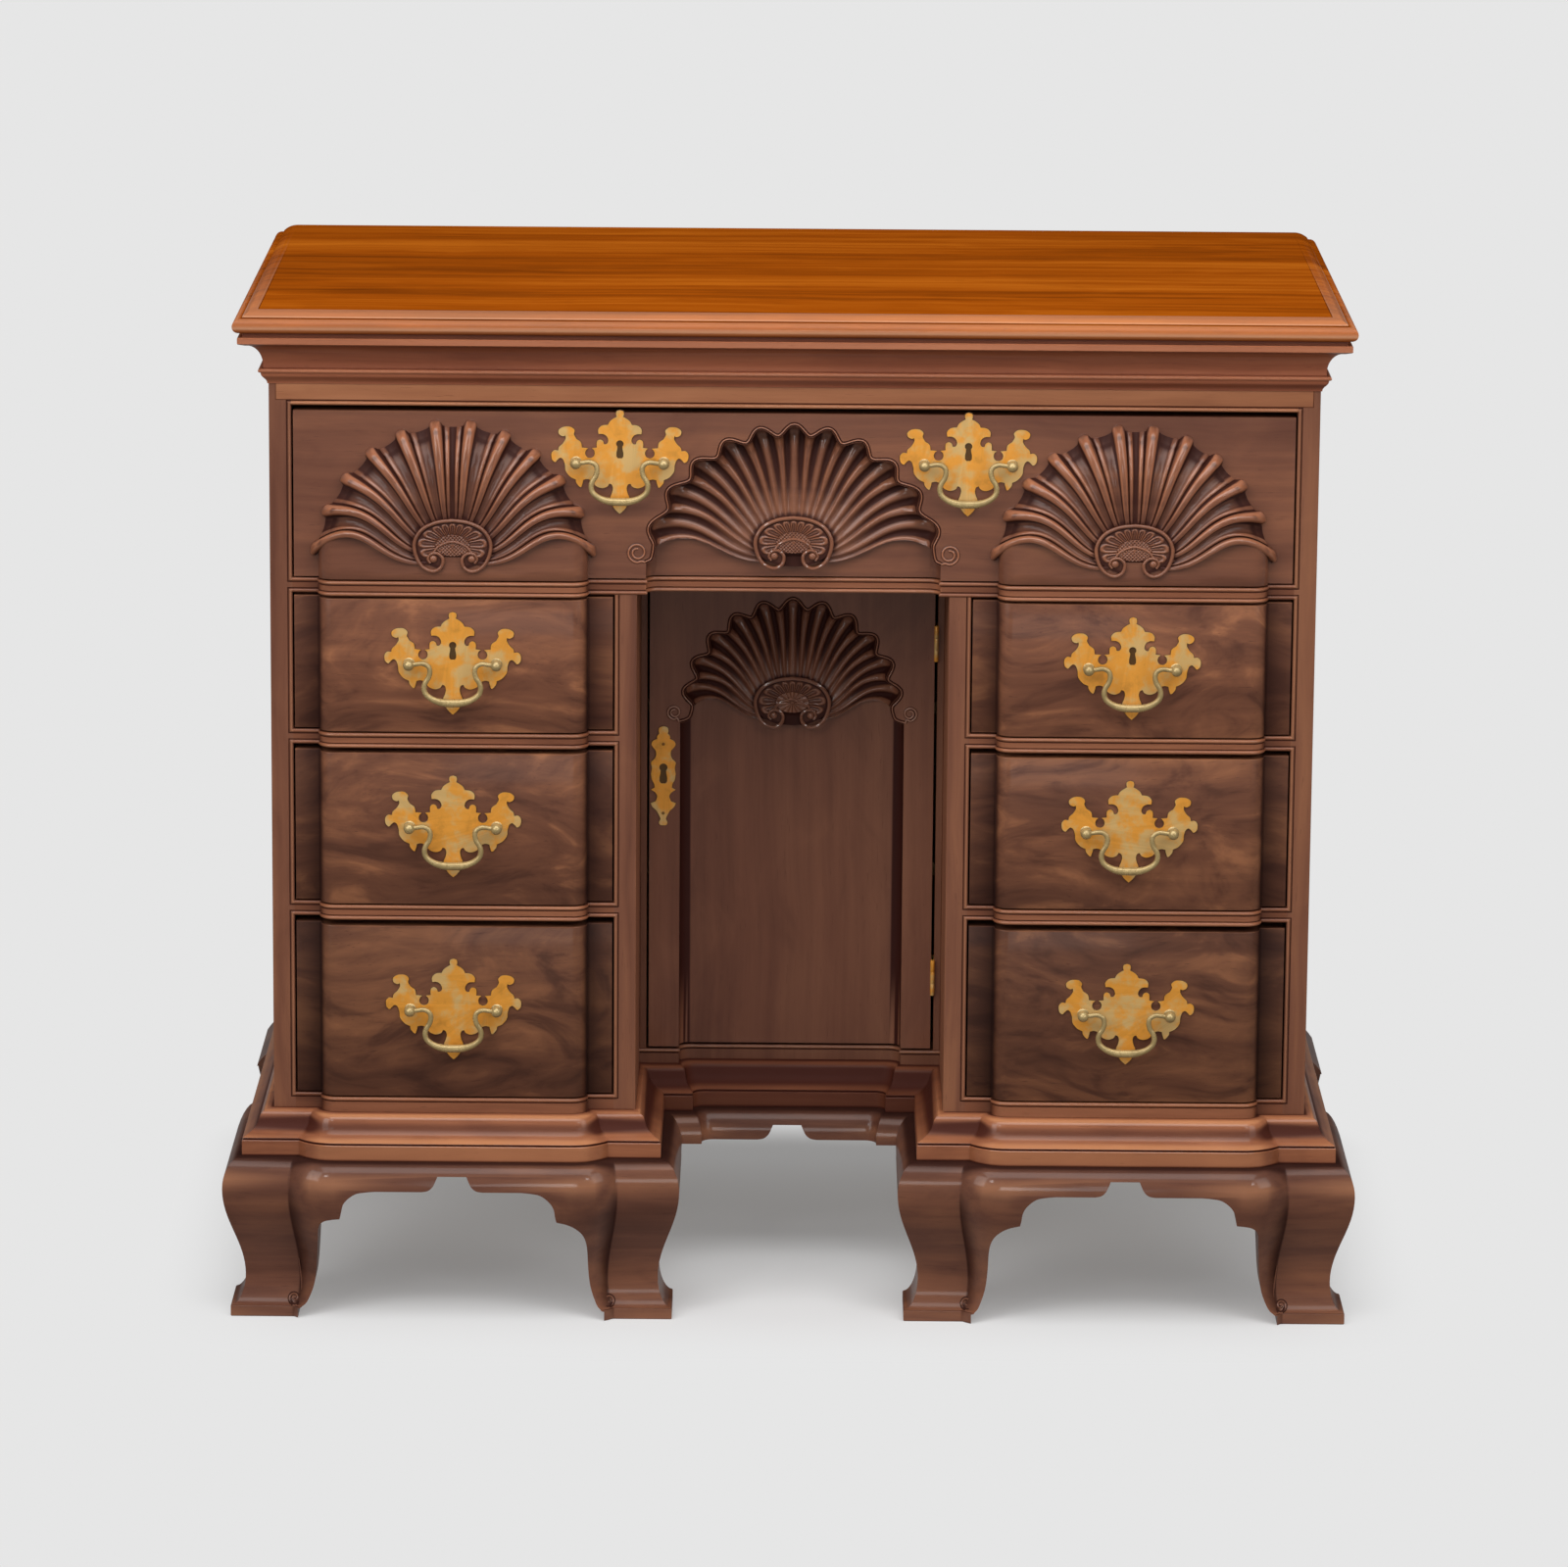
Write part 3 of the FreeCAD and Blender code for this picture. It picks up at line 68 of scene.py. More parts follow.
class Wire:
    """A socket of a material, so that sums on it can be written as Python."""

    def __init__(self, tree, socket=None):
        self.tree, self.socket = tree, socket

    def node(self, kind, settings=(), sockets=(), out=0):
        made = self.tree.nodes.new("ShaderNode" + kind)
        for name, value in dict(settings).items():
            if name == "stops":
                ramp = made.color_ramp
                while len(ramp.elements) < len(value):
                    ramp.elements.new(0.5)
                for element, (place, colour) in zip(ramp.elements, value):
                    element.position = place
                    element.color = (*colour, 1) if len(colour) == 3 else colour
            else:
                setattr(made, name, value)
        for key, value in dict(sockets).items():
            if isinstance(value, Wire):
                self.tree.links.new(value.socket, made.inputs[key])
            else:
                made.inputs[key].default_value = value
        return Wire(self.tree, made.outputs[out])

    def sum(self, operation, first, second=0.0):
        return self.node("Math", {"operation": operation}, {0: first, 1: second})

    def __add__(self, other):
        return self.sum("ADD", self, other)

    __radd__ = __add__

    def __sub__(self, other):
        return self.sum("SUBTRACT", self, other)

    def __rsub__(self, other):
        return self.sum("SUBTRACT", other, self)

    def __mul__(self, other):
        return self.sum("MULTIPLY", self, other)

    __rmul__ = __mul__

    def clipped(self, low=0.0, high=1.0):
        return self.node("Clamp", {}, {0: self, 1: low, 2: high})

    def step(self, low, high):
        """0 below low and 1 above high, with a smooth rise between."""
        return self.node("MapRange", {"interpolation_type": "SMOOTHSTEP"},
                         {0: self, 1: low, 2: high, 3: 0.0, 4: 1.0})


def tone(red, green, blue):
    """A colour as it looks, 0 to 255, as the light it stands for."""
    return tuple(c / 255 / 12.92 if c <= 10 else ((c / 255 + 0.055) / 1.055) ** 2.4
                 for c in (red, green, blue))


def blend(wire, share, first, second):
    """One colour mixed into another."""
    pick = {"Factor": share}
    for key, colour in ((6, first), (7, second)):
        pick[key] = colour if isinstance(colour, Wire) else (*colour, 1)
    return wire.node("Mix", {"data_type": "RGBA"}, pick, 2)


def surface(name):
    """A new material, its shader and a wire to start sums from."""
    made = bpy.data.materials.new(name)
    made.use_nodes = True
    shader = made.node_tree.nodes["Principled BSDF"]
    return made, shader, Wire(made.node_tree)


def feed(shader, name, wire):
    """Let a socket of the shader vary over the surface."""
    shader.id_data.links.new(wire.socket, shader.inputs[name])


GRAIN_AXES = {"x": (1, 0, 0), "y": (0, 1, 0), "z": (0, 0, 1)}
WORN_AND_LIT = tone(192, 132, 94)


def wood(name, tones, grain="x", figure=0.5, gloss=0.12, worn=WORN_AND_LIT, rough=0.42, shade=0.45, flame=0.0,
         shine=0.22, edge_gloss=0.3):
    """Polished wood: long soft streaks along the grain, fine pores, and blotches of figure across it.

    tones are its dark, middle and light colours. Edges are rubbed towards the worn tone, for wear and for
    painted highlights, and hollows are darkened towards grime, for dirt and for painted shade.
    """
    dark, mid, light = tones
    made, shader, wire = surface(name)
    place = wire.node("TexCoord", out=3)
    drift = wire.node("TexNoise", {}, {"Vector": place, "Scale": 5.0, "Detail": 2.0}, 1)
    drift = wire.node("VectorMath", {"operation": "MULTIPLY_ADD"},
                      {0: drift, 1: (0.02 + 0.06 * flame,) * 3, 2: place})

    def grained(long, wide, **settings):
        """Noise at one scale along the grain and at another across it."""
        spot = wire.node("VectorMath", {"operation": "MULTIPLY"},
                         {0: drift, 1: tuple(long if along else wide for along in GRAIN_AXES[grain])})
        return wire.node("TexNoise", {}, {"Vector": spot, "Scale": 1.0, **settings})

    streak = grained(2.2, 75.0, Detail=6.0, Roughness=0.62)
    band = grained(1.1, 14.0, Detail=3.0, Roughness=0.5)
    blotch = grained(9.0, 22.0, Detail=4.0, Roughness=0.55, Distortion=0.8 + 2.2 * flame)
    pores = grained(45.0, 900.0, Detail=2.0, Roughness=0.6).step(0.36, 0.26)
    ripple = streak * (0.55 - 0.3 * figure) + band * 0.45 + blotch * (0.3 * figure)
    colour = wire.node("ValToRGB", {"stops": ((0.3, dark), (0.5, mid), (0.72, light))}, {0: ripple})
    flare = blotch.step(0.54, 0.78) * figure
    colour = blend(wire, flare * 0.55, colour, light)
    stain = blotch.step(0.47, 0.3) * figure
    colour = blend(wire, stain * 0.45, colour, dark)
    colour = blend(wire, pores * 0.45, colour, dark)
    # Corners marked relief are rubbed towards the worn tone, for wear and painted highlights; corners marked
    # hollow are darkened towards grime, for dirt and painted shade in creases and recesses.
    wear_and_highlight = wire.node("Attribute", {"attribute_name": "relief"}, out=2).step(0.1, 0.9)
    colour = blend(wire, wear_and_highlight * 0.6, colour, worn)
    shade_and_dirt = wire.node("Attribute", {"attribute_name": "hollow"}, out=2).step(0.05, 0.9)
    shade_and_grime = tuple(share * c for share, c in zip((0.36, 0.16, 0.12), dark))
    colour = blend(wire, shade_and_dirt * (0.45 + shade), colour, shade_and_grime)
    feed(shader, "Base Color", colour)
    feed(shader, "Roughness", streak * 0.16 + (rough - 0.08) + shade_and_dirt * 0.35)
    feed(shader, "Coat Weight", wear_and_highlight * edge_gloss + (1.0 - shade_and_dirt) * gloss)
    shader.inputs["Coat Roughness"].default_value = 0.1
    shader.inputs["Specular IOR Level"].default_value = shine
    height = streak * 0.25 + pores * -0.35
    feed(shader, "Normal", wire.node("Bump", {}, {"Strength": 0.12, "Distance": 0.0006, "Height": height}))
    return made


poplar_tones = (tone(150, 118, 78), tone(178, 146, 102), tone(200, 170, 126))
poplar = wood("poplar_raw", poplar_tones, grain="y", figure=0.1, gloss=0.0, worn=poplar_tones[2], rough=0.62)
chestnut_tones = (tone(112, 86, 58), tone(140, 110, 76), tone(164, 132, 94))
chestnut = wood("chestnut_raw", chestnut_tones, figure=0.1, gloss=0.0, worn=chestnut_tones[2], rough=0.66)
ARRIS = 0.5


def softened(node, material, width=ARRIS):
    """Give a sawn piece its finish and a slightly rounded arris."""
    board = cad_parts[node]
    board.data.materials.clear()
    board.data.materials.append(material)
    weld = board.modifiers.new("weld", "WELD")
    weld.merge_threshold = 0.00001
    ease = board.modifiers.new("arris", "BEVEL")
    ease.width, ease.segments, ease.limit_method = width * MM, 2, "ANGLE"
    ease.angle_limit = math.radians(40)
    ease.harden_normals = True


for node in ("back_boards", "drawer_runners"):
    softened(node, chestnut)
for node in ("case_bottoms", "dust_board", "cupboard_shelves", "glue_blocks"):
    softened(node, poplar)

# ---------------------------------------------------------------- top board
# The top is one wide board of close mahogany, finished brighter than the rest, with a round nosing,
# a small step and a hollow above it worked along the front and both ends.


def span(*nodes):
    """The lowest and highest corners of some pieces together, in millimetres."""
    boxes = [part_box(node) for node in nodes]
    low = [min(box[0][axis] for box in boxes) / MM for axis in range(3)]
    high = [max(box[1][axis] for box in boxes) / MM for axis in range(3)]
    return low, high


class Form:
    """The corners and faces of a piece in millimetres, with a mark at each corner: wear and painted highlight
    above zero, dirt and painted shade below.
    """

    def __init__(self):
        self.corners, self.faces, self.relief = [], [], []

    def add(self, points, relief=0.0):
        start = len(self.corners)
        self.corners += [tuple(point) for point in points]
        count = len(self.corners) - start
        self.relief += list(relief) if hasattr(relief, "__len__") else [relief] * count
        return list(range(start, start + count))

    def face(self, points, relief=0.0):
        self.faces.append(self.add(points, relief))

    def grid(self, rows, relief=None, around=False, across=False, ends=(False, False), sides=(False, False)):
        """Quads between rows; around joins the last row to the first, and across the last column.

        ends close the first and the last row, and sides the first and the last column.
        """
        marks = relief if relief is not None else [0.0] * len(rows)
        numbers = [self.add(row, mark) for row, mark in zip(rows, marks)]
        pairs = list(zip(numbers, numbers[1:])) + ([(numbers[-1], numbers[0])] if around else [])
        for low, high in pairs:
            cells = list(zip(low, high))
            cells = list(zip(cells, cells[1:] + cells[:1] if across else cells[1:]))
            self.faces += [(a, b, d, c) for (a, c), (b, d) in cells]
        if ends[0]:
            self.faces.append(numbers[0][::-1])
        if ends[1]:
            self.faces.append(numbers[-1])
        if sides[0]:
            self.faces.append([row[0] for row in numbers])
        if sides[1]:
            self.faces.append([row[-1] for row in numbers][::-1])
        return numbers

    def mirrored(self):
        """The same form on the other side of the middle of the chest."""
        other = Form()
        other.corners = [(-x, y, z) for x, y, z in self.corners]
        other.faces = [tuple(face)[::-1] for face in self.faces]
        other.relief = list(self.relief)
        return other

    def object(self, name, smooth=32):
        """The finished mesh, smooth but for edges sharper than an angle in degrees."""
        mesh = bpy.data.meshes.new(name)
        mesh.from_pydata([(x * MM, y * MM, z * MM) for x, y, z in self.corners], [], self.faces)
        layer = mesh.attributes.new("relief", "FLOAT", "POINT")
        layer.data.foreach_set("value", np.clip(self.relief, 0, 1).astype(np.float32))
        layer = mesh.attributes.new("hollow", "FLOAT", "POINT")
        layer.data.foreach_set("value", np.clip(-np.array(self.relief), 0, 1).astype(np.float32))
        shape = bmesh.new()
        shape.from_mesh(mesh)
        bmesh.ops.remove_doubles(shape, verts=shape.verts, dist=0.00001)
        bmesh.ops.recalc_face_normals(shape, faces=shape.faces)
        shape.to_mesh(mesh)
        shape.free()
        mesh.polygons.foreach_set("use_smooth", [True] * len(mesh.polygons))
        mesh.set_sharp_from_angle(angle=math.radians(smooth))
        made = bpy.data.objects.new(name, mesh)
        bpy.context.scene.collection.objects.link(made)
        return made


def placed(made, material, body, slot, *nodes):
    """Finish a piece, and make it move with its body in place of its plain solids."""
    made.data.materials.append(material)
    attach(made, body)
    if nodes:
        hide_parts(*nodes)
    return made


def arc(centre, radius, start, end, steps):
    """Points along an arc, between two angles in degrees."""
    turns = [math.radians(start + (end - start) * step / steps) for step in range(steps + 1)]
    return [(centre[0] + radius * math.cos(turn), centre[1] + radius * math.sin(turn)) for turn in turns]


NOSE, NOSE_STEP, EDGE_STEP, EDGE_FLAT = 6, 1.2, 8, 20
RIM_WIDE, RIM_FADE = 0.8, 0.6
top_low, top_high = span("top_board")
nose_middle = top_low[2] + NOSE
step_height = nose_middle + NOSE
top_rise = top_high[2] - top_low[2] - 2 * NOSE - NOSE_STEP
hollow_out = EDGE_FLAT - EDGE_STEP
sweep_radius = (hollow_out ** 2 + top_rise ** 2) / (2 * top_rise)
opening = math.degrees(math.asin(hollow_out / sweep_radius))
top_profile = [(NOSE * 3, top_low[2])] + arc((NOSE, nose_middle), NOSE, 270, 90, 12)
top_profile += [(EDGE_STEP - 0.3, step_height), (EDGE_STEP, step_height + 0.3),
                (EDGE_STEP, step_height + NOSE_STEP)]
top_profile += arc((EDGE_FLAT, top_high[2] - sweep_radius), sweep_radius, 90 + opening, 90, 8)[1:]
# Marks of the edge's rows from the underside up: rubbed pale over the nosing, with a painted highlight line
# along it, painted shade in the step with a pale edge over it, and wear over the hollow.
top_wear_and_light = [0, 0.1, 0.2, 0.3, 0.35, 0.4, 0.9, 0.55, 0.4, 0.4, 0.45, 0.5, 0.5, 0.3] \
    + [-0.6, -0.7, 0.95] + [0.5] * 7 + [0.6]


def three_sided(inward, up):
    """Corners of the top board's moulded edge: along its left end, its front and its right end."""
    left, right, near, far = top_low[0] + inward, top_high[0] - inward, top_low[1] + inward, top_high[1]
    return [(left, far, up), (left, near, up), (right, near, up), (right, far, up)]


top_form = Form()
rows = [three_sided(inward, up) for inward, up in top_profile]
top_form.grid(rows, relief=[[0.2 * wear_and_painted_light, wear_and_painted_light, wear_and_painted_light, 0.2 * wear_and_painted_light] for wear_and_painted_light in top_wear_and_light], ends=(True, False))
rim = three_sided(EDGE_FLAT + RIM_WIDE, top_high[2])
field = three_sided(EDGE_FLAT + RIM_WIDE + RIM_FADE, top_high[2])
top_form.grid([rows[-1], rim, field], relief=[[0, 0.6, 0.6, 0], [-0.3, -0.9, -0.9, -0.3], [0] * 4],
              ends=(False, True))
rows += [rim, field]
top_form.face([row[0] for row in rows] + [row[3] for row in reversed(rows)])
top_wood = wood("mahogany_top", (tone(92, 40, 6), tone(152, 72, 9), tone(190, 104, 24)), figure=0.2,
                gloss=0.0, worn=tone(206, 156, 122), rough=0.4, flame=0.1, shine=0.0, edge_gloss=0.6)
placed(top_form.object("top"), top_wood, "case", "mahogany_top", "top_board")

# ---------------------------------------------------------------- cornice
# A cove over a small bead and an ogee, planed in mahogany lengths, mitred at the front
# corners and glued to the case under the top.


def ogee(start, end, steps):
    """Points of an S-shaped moulding that leaves both ends upright."""
    (out, low), (out_end, high) = start, end
    points = []
    for step in range(steps + 1):
        share = step / steps
        ease = (1 - math.cos(math.pi * share)) / 2
        points.append((out + (out_end - out) * ease, low + (high - low) * share))
    return points


BLOCK_RISE = 16
COVE_RISE, COVE_LOW, COVE_STEPS = 19, 15, 12
cornice_low, cornice_high = span("cornice_moulding")
half_case, back = span("case_side_right")[1][:2]
front = span("drawer_left_lower_front")[0][1] + BLOCK_RISE
low, high = cornice_low[2], cornice_high[2]
out = -cornice_low[0] - half_case


def cove_painted_light(up):
    """Painted light on the cove: pale at its foot, darkening up into the shade under the top."""
    return 0.25 - 0.5 * (up - low - 13.7) / (high - low - 24.7)


# Each point of the section is (out, up, mark): painted shade on the small members by the wall and under the
# bead, rubbed wear on the bead and the fillets, and painted light up the cove.
cornice_profile = [(0, low, -0.4), (1, low, -0.4)]
cornice_profile += [(reach, up, -0.4 if reach <= 5 else 0.1)
                    for reach, up in ogee((1, low + 0.6), (6, low + 9), 8)]
cornice_profile += [(6.2, low + 9.7, 0.1)]
cornice_profile += [(reach, up, 0.4) for reach, up in arc((6.6, low + 11.4), 1.6, -80, 80, 6)]
cornice_profile += [(5, low + 13.2, -0.4), (4, low + 13.6, -0.4)]
for step in range(COVE_STEPS + 1):
    turn = math.pi / 2 * step / COVE_STEPS
    up = low + COVE_LOW + COVE_RISE * math.sin(turn)
    cornice_profile.append((4 + (out - 10) * (1 - math.cos(turn)), up, cove_painted_light(up)))
cornice_profile += [(out - 0.8, high - 9.4, 0.4), (out, high - 8.8, 0.4), (out, high - 4.2, 0.4),
                    (out - 0.5, high - 3.7, 0.4), (out - 4, high - 3.4, cove_painted_light(high - 3.4)),
                    (out - 4, high, cove_painted_light(high)), (0, high, cove_painted_light(high))]
cornice_form = Form()
cornice_form.grid([[(-half_case - reach, back, up), (-half_case - reach, front - reach, up),
                    (half_case + reach, front - reach, up), (half_case + reach, back, up)]
                   for reach, up, _ in cornice_profile],
                  relief=[wear_and_painted_light for _, _, wear_and_painted_light in cornice_profile], around=True, sides=(True, True))
cornice_wood = wood("mahogany_cornice", (tone(108, 54, 36), tone(150, 86, 58), tone(178, 110, 76)),
                    figure=0.25, gloss=0.3, rough=0.36, shade=0.5)
placed(cornice_form.object("cornice"), cornice_wood, "case", "mahogany", "cornice_moulding")

# ---------------------------------------------------------------- rails
# Mahogany rails that follow the blocks of the drawers in plan. A bead is worked along both edges
# of each, with a flat between them, and their ends are dovetailed into the sides.
BLOCK_ROUND, BLOCK_WIDE = 13, 224
HOLLOW_ROUND, HOLLOW_WIDE = 10, 245
ARC_STEPS, CREASE = 8, 0.7
BEAD, BEAD_RISE, QUIRK, QUIRK_DEEP = 3.2, 1.2, 0.9, 0.55
RAIL_THICK, RAIL_DEEP, DRAWER_GAP = 12.6, 74, 1.2
LEVELS = ("lower", "middle", "upper")
bay_inner, bay_outer = span("drawer_rails_right")[0][0], span("drawer_rails_right")[1][0]
bay_middle = (bay_inner + bay_outer) / 2


def raised_edge(left, right, face, out=0.0):
    """The front of a raised block in plan, from left to right, a distance out from its surface."""
    radius = BLOCK_ROUND + out
    level = face - BLOCK_RISE + BLOCK_ROUND
    foot = max(face - level, 0)
    start = math.degrees(math.asin(min(max(out - foot, 0) / radius, 1)))
    one = arc((left + BLOCK_ROUND, level), radius, 180 + start, 270, ARC_STEPS)
    return [(one[0][0], face - out)] + one + [(left + right - x, y) for x, y in reversed(one)] \
        + [(left + right - one[0][0], face - out)]


def hollow_edge(left, right, face, out=0.0):
    """The front of a hollow block in plan, from left to right, a distance out from its surface."""
    deep = max(HOLLOW_ROUND, out)
    one = arc((left + deep, face + BLOCK_RISE - deep), deep - out, 180, 90, ARC_STEPS)
    return [(left + out, face - out)] + one + [(left + right - x, y) for x, y in reversed(one)] \
        + [(left + right - left - out, face - out)]


def beside(x, face, way):
    """Two points of the flat next to a block, where the crease at its foot fades out."""
    return [(x + way * CREASE, face), (x + way * 3 * CREASE, face)]


def front_line(left, right, face, blocks, out=0.0):
    """A whole front in plan with its blocks."""
    points = [(left, face - out)]
    for shape, block_left, block_right in blocks:
        edge = shape(block_left, block_right, face, out)
        points += beside(edge[0][0], face - out, -1)[::-1] + edge + beside(edge[-1][0], face - out, 1)
    return points + [(right, face - out)]


def creased(marks, line, depth=0.6):
    """The marks of each row, darkened in the crease where a raised block meets the flat beside it, for dirt
    and for painted shade.
    """
    flat = line[0][1]
    starts = [i for i in range(1, len(line)) if (line[i][1] < flat - 0.3) != (line[i - 1][1] < flat - 0.3)]
    away = [min(abs(i - spot + 0.5) for spot in starts) for i in range(len(line))]
    shade_and_dirt = [max(1 - 0.3 * max(steps - 2, 0), 0) for steps in away]
    return [[mark - depth * dirty for dirty in shade_and_dirt] for mark in marks]


LEFT_BLOCK = (raised_edge, -bay_middle - BLOCK_WIDE / 2, -bay_middle + BLOCK_WIDE / 2)
RIGHT_BLOCK = (raised_edge, bay_middle - BLOCK_WIDE / 2, bay_middle + BLOCK_WIDE / 2)
MIDDLE_HOLLOW = (hollow_edge, -HOLLOW_WIDE / 2, HOLLOW_WIDE / 2)
EDGE_STEPS = [BEAD * step / 8 for step in range(9)]
EDGE_STEPS += [BEAD + 0.15, BEAD + 0.15 + QUIRK * 0.6, BEAD + QUIRK + 0.2]


def edge_height(away):
    """How far a beaded edge stands out, at a distance from the opening that it goes round."""
    if away <= BEAD:
        return BEAD_RISE * math.sin(math.pi * away / BEAD) ** 0.7 - 0.2
    return -QUIRK_DEEP if away < BEAD + QUIRK else 0


def edge_wear_and_shade(away):
    """The crown of a bead is rubbed bright, and its quirk is painted dark, for dirt and for the shade in it.
    """
    if away <= BEAD:
        return 0.75 * math.sin(math.pi * away / BEAD) - 0.25
    return -0.9 if away < BEAD + QUIRK else 0


def bead_profile(low, high, beads=(True, True)):
    """The front of a rail from bottom to top: a flat between beads that stand off it by a quirk."""
    steps = [(low + away, away) for away in EDGE_STEPS] if beads[0] else [(low, 9)]
    steps += [(high - away, away) for away in reversed(EDGE_STEPS)] if beads[1] else [(high, 9)]
    return [(edge_height(away), up) for up, away in steps], [edge_wear_and_shade(away) for _, away in steps]


def swept(line, profile):
    """Rows of corners: a line in plan carried up a section of (out, up) points."""
    return [[(x, y, point[1]) for x, y in line(point[0])] for point in profile]


def rail_form(form, left, right, face, low, high, deep, blocks, beads=(True, True)):
    """A rail whose front follows the blocks, with a straight back."""

    def line(out):
        return front_line(left, right, face, blocks, out)

    profile, wear_and_painted_light = bead_profile(low, high, beads)
    rows = swept(line, profile)
    rows += [[(x, face + deep, up) for x, _ in line(0)] for up in (high, low)]
    # Creases beside raised blocks are painted dark, for dirt and for the shade in them.
    marks = creased(wear_and_painted_light, line(0)) if blocks[0][0] is raised_edge else wear_and_painted_light
    form.grid(rows, relief=marks + [0, 0], around=True, sides=(True, True))


moulded_wood = wood("mahogany_moulded", (tone(92, 52, 35), tone(130, 79, 54), tone(162, 104, 72)),
                    figure=0.2, gloss=0.3, rough=0.36)
rail_levels = [span(f"drawer_left_{level}_front")[0][2] - DRAWER_GAP - RAIL_THICK for level in LEVELS]
for side, left, right, block in (("left", -bay_outer, -bay_inner, LEFT_BLOCK),
                                 ("right", bay_inner, bay_outer, RIGHT_BLOCK)):
    form = Form()
    for low in rail_levels:
        rail_form(form, left, right, front, low, low + RAIL_THICK, RAIL_DEEP, [block],
                  (low > rail_levels[0], True))
    placed(form.object(f"rails_{side}"), moulded_wood, "case", "mahogany", f"drawer_rails_{side}")
long_rail = span("long_drawer_rail")[0][2]
form = Form()
rail_form(form, -bay_outer, bay_outer, front, long_rail, long_rail + RAIL_THICK, RAIL_DEEP,
          [LEFT_BLOCK, MIDDLE_HOLLOW, RIGHT_BLOCK])
placed(form.object("rail_under_long_drawer"), moulded_wood, "case", "mahogany", "long_drawer_rail")
frieze_low, frieze_high = span("frieze_rail")
form = Form()
profile, wear_and_painted_light = bead_profile(frieze_low[2], frieze_high[2], (True, False))
rows = swept(lambda out: [(x, front - out) for x in (-bay_outer, bay_outer)], profile)
rows += [[(x, frieze_high[1], up) for x in (-bay_outer, bay_outer)] for up in (frieze_high[2], frieze_low[2])]
form.grid(rows, relief=wear_and_painted_light + [0, 0], around=True, sides=(True, True))
# The frieze's face is lapped over the tops of the case sides.
LAP_INSIDE_END = 6
lap_low, lap_high = frieze_low[2] + BEAD + QUIRK + 0.5, cornice_low[2] + 0.2
lap_end = half_case - LAP_INSIDE_END
rows = []
for grow, out in ((0.5, -1), (0.5, 0.03), (0, 0.25), (-0.4, 0.3)):
    end, foot = lap_end + grow, lap_low - grow
    corners = ((-end, lap_high), (end, lap_high), (end, foot), (-end, foot))
    rows.append([(x, front - out, up) for x, up in corners])
form.grid(rows, across=True, ends=(False, True), relief=[-1, -1, -0.8, 0])
frieze_wood = wood("mahogany_frieze", (tone(112, 66, 42), tone(148, 94, 63), tone(174, 116, 80)),
                   figure=0.3, gloss=0.2)
placed(form.object("frieze"), frieze_wood, "case", "mahogany", "frieze_rail")

# ---------------------------------------------------------------- case sides and kneehole sides
# Upright boards of mahogany. The same bead is worked down their front edges beside each opening
# and meets the beads of the rails in a mitre.
base_top = rail_levels[0] + RAIL_THICK
openings = [(base_top, rail_levels[1]), (rail_levels[1] + RAIL_THICK, rail_levels[2]),
            (rail_levels[2] + RAIL_THICK, long_rail), (long_rail + RAIL_THICK, frieze_low[2])]
BACK_REBATE = 9.25
knee = span("cupboard_frame")[1][0]


def beaded_board(form, inner, outer, low, high, back_points):
    """An upright board, beaded along its front edge where it passes the drawers."""
    way = 1 if outer > inner else -1
    wide = abs(outer - inner)
    columns = EDGE_STEPS + [wide - 0.8, wide - 0.3, wide]
    levels = {low, high}
    for opening_low, opening_high in openings:
        levels |= {opening_low - away for away in EDGE_STEPS} | {opening_high + away for away in EDGE_STEPS}
    rows, marks = [], []
    for level in sorted(z for z in levels if low <= z <= high):
        past = min(max(opening_low - level, level - opening_high) for opening_low, opening_high in openings)
        aways = [max(column, past) for column in columns]
        rise = [edge_height(away) for away in aways]
        wear_and_painted_light = [edge_wear_and_shade(away) for away in aways]
        rise[-2:], wear_and_painted_light[-2:] = [-0.1, -0.6], [0.4, 0.2]
        rows.append([(inner + way * column, front - out, level) for column, out in zip(columns, rise)]
                    + [(x, y, level) for x, y in back_points])
        marks.append(wear_and_painted_light + [0.0] * len(back_points))
    form.grid(rows, relief=marks, across=True, ends=(True, True))


inside_back = span("back_boards")[0][1]
side_low, side_high = span("case_side_right")
UPRIGHT_TONES = (tone(84, 48, 36), tone(118, 74, 54), tone(150, 99, 68))
side_wood = wood("mahogany_side", UPRIGHT_TONES, grain="z", figure=0.45)
for side, way in (("left", -1), ("right", 1)):
    outer, inner, rebated = way * half_case, way * bay_outer, way * (half_case - BACK_REBATE)
    form = Form()
    beaded_board(form, inner, outer, side_low[2], side_high[2],
                 [(outer, back), (rebated, back), (rebated, inside_back), (inner, inside_back)])
    placed(form.object(f"side_{side}"), side_wood, "case", "mahogany", f"case_side_{side}")
form = Form()
for way in (-1, 1):
    beaded_board(form, way * bay_inner, way * knee, side_low[2], long_rail,
                 [(way * knee, inside_back), (way * bay_inner, inside_back)])
upright_wood = wood("mahogany_upright", UPRIGHT_TONES, grain="z", figure=0.2)
placed(form.object("kneehole_walls"), upright_wood, "case", "mahogany", "kneehole_sides")

# ---------------------------------------------------------------- cupboard frame
# Thin strips of mahogany beside and over the door, and a sill that follows its hollow block,
# painted darker than the rails and sides of the front for the shade of the kneehole.
DOOR_HOLLOW_WIDE = 192
FRAME_STILE, FRAME_HEAD, FRAME_DEEP = 5.8, 5, 27
SILL_BLOCK = (hollow_edge, -DOOR_HOLLOW_WIDE / 2, DOOR_HOLLOW_WIDE / 2)
door_face = span("cupboard_frame")[0][1] + BEAD_RISE
frame_back = door_face + FRAME_DEEP
head_low = long_rail - FRAME_HEAD


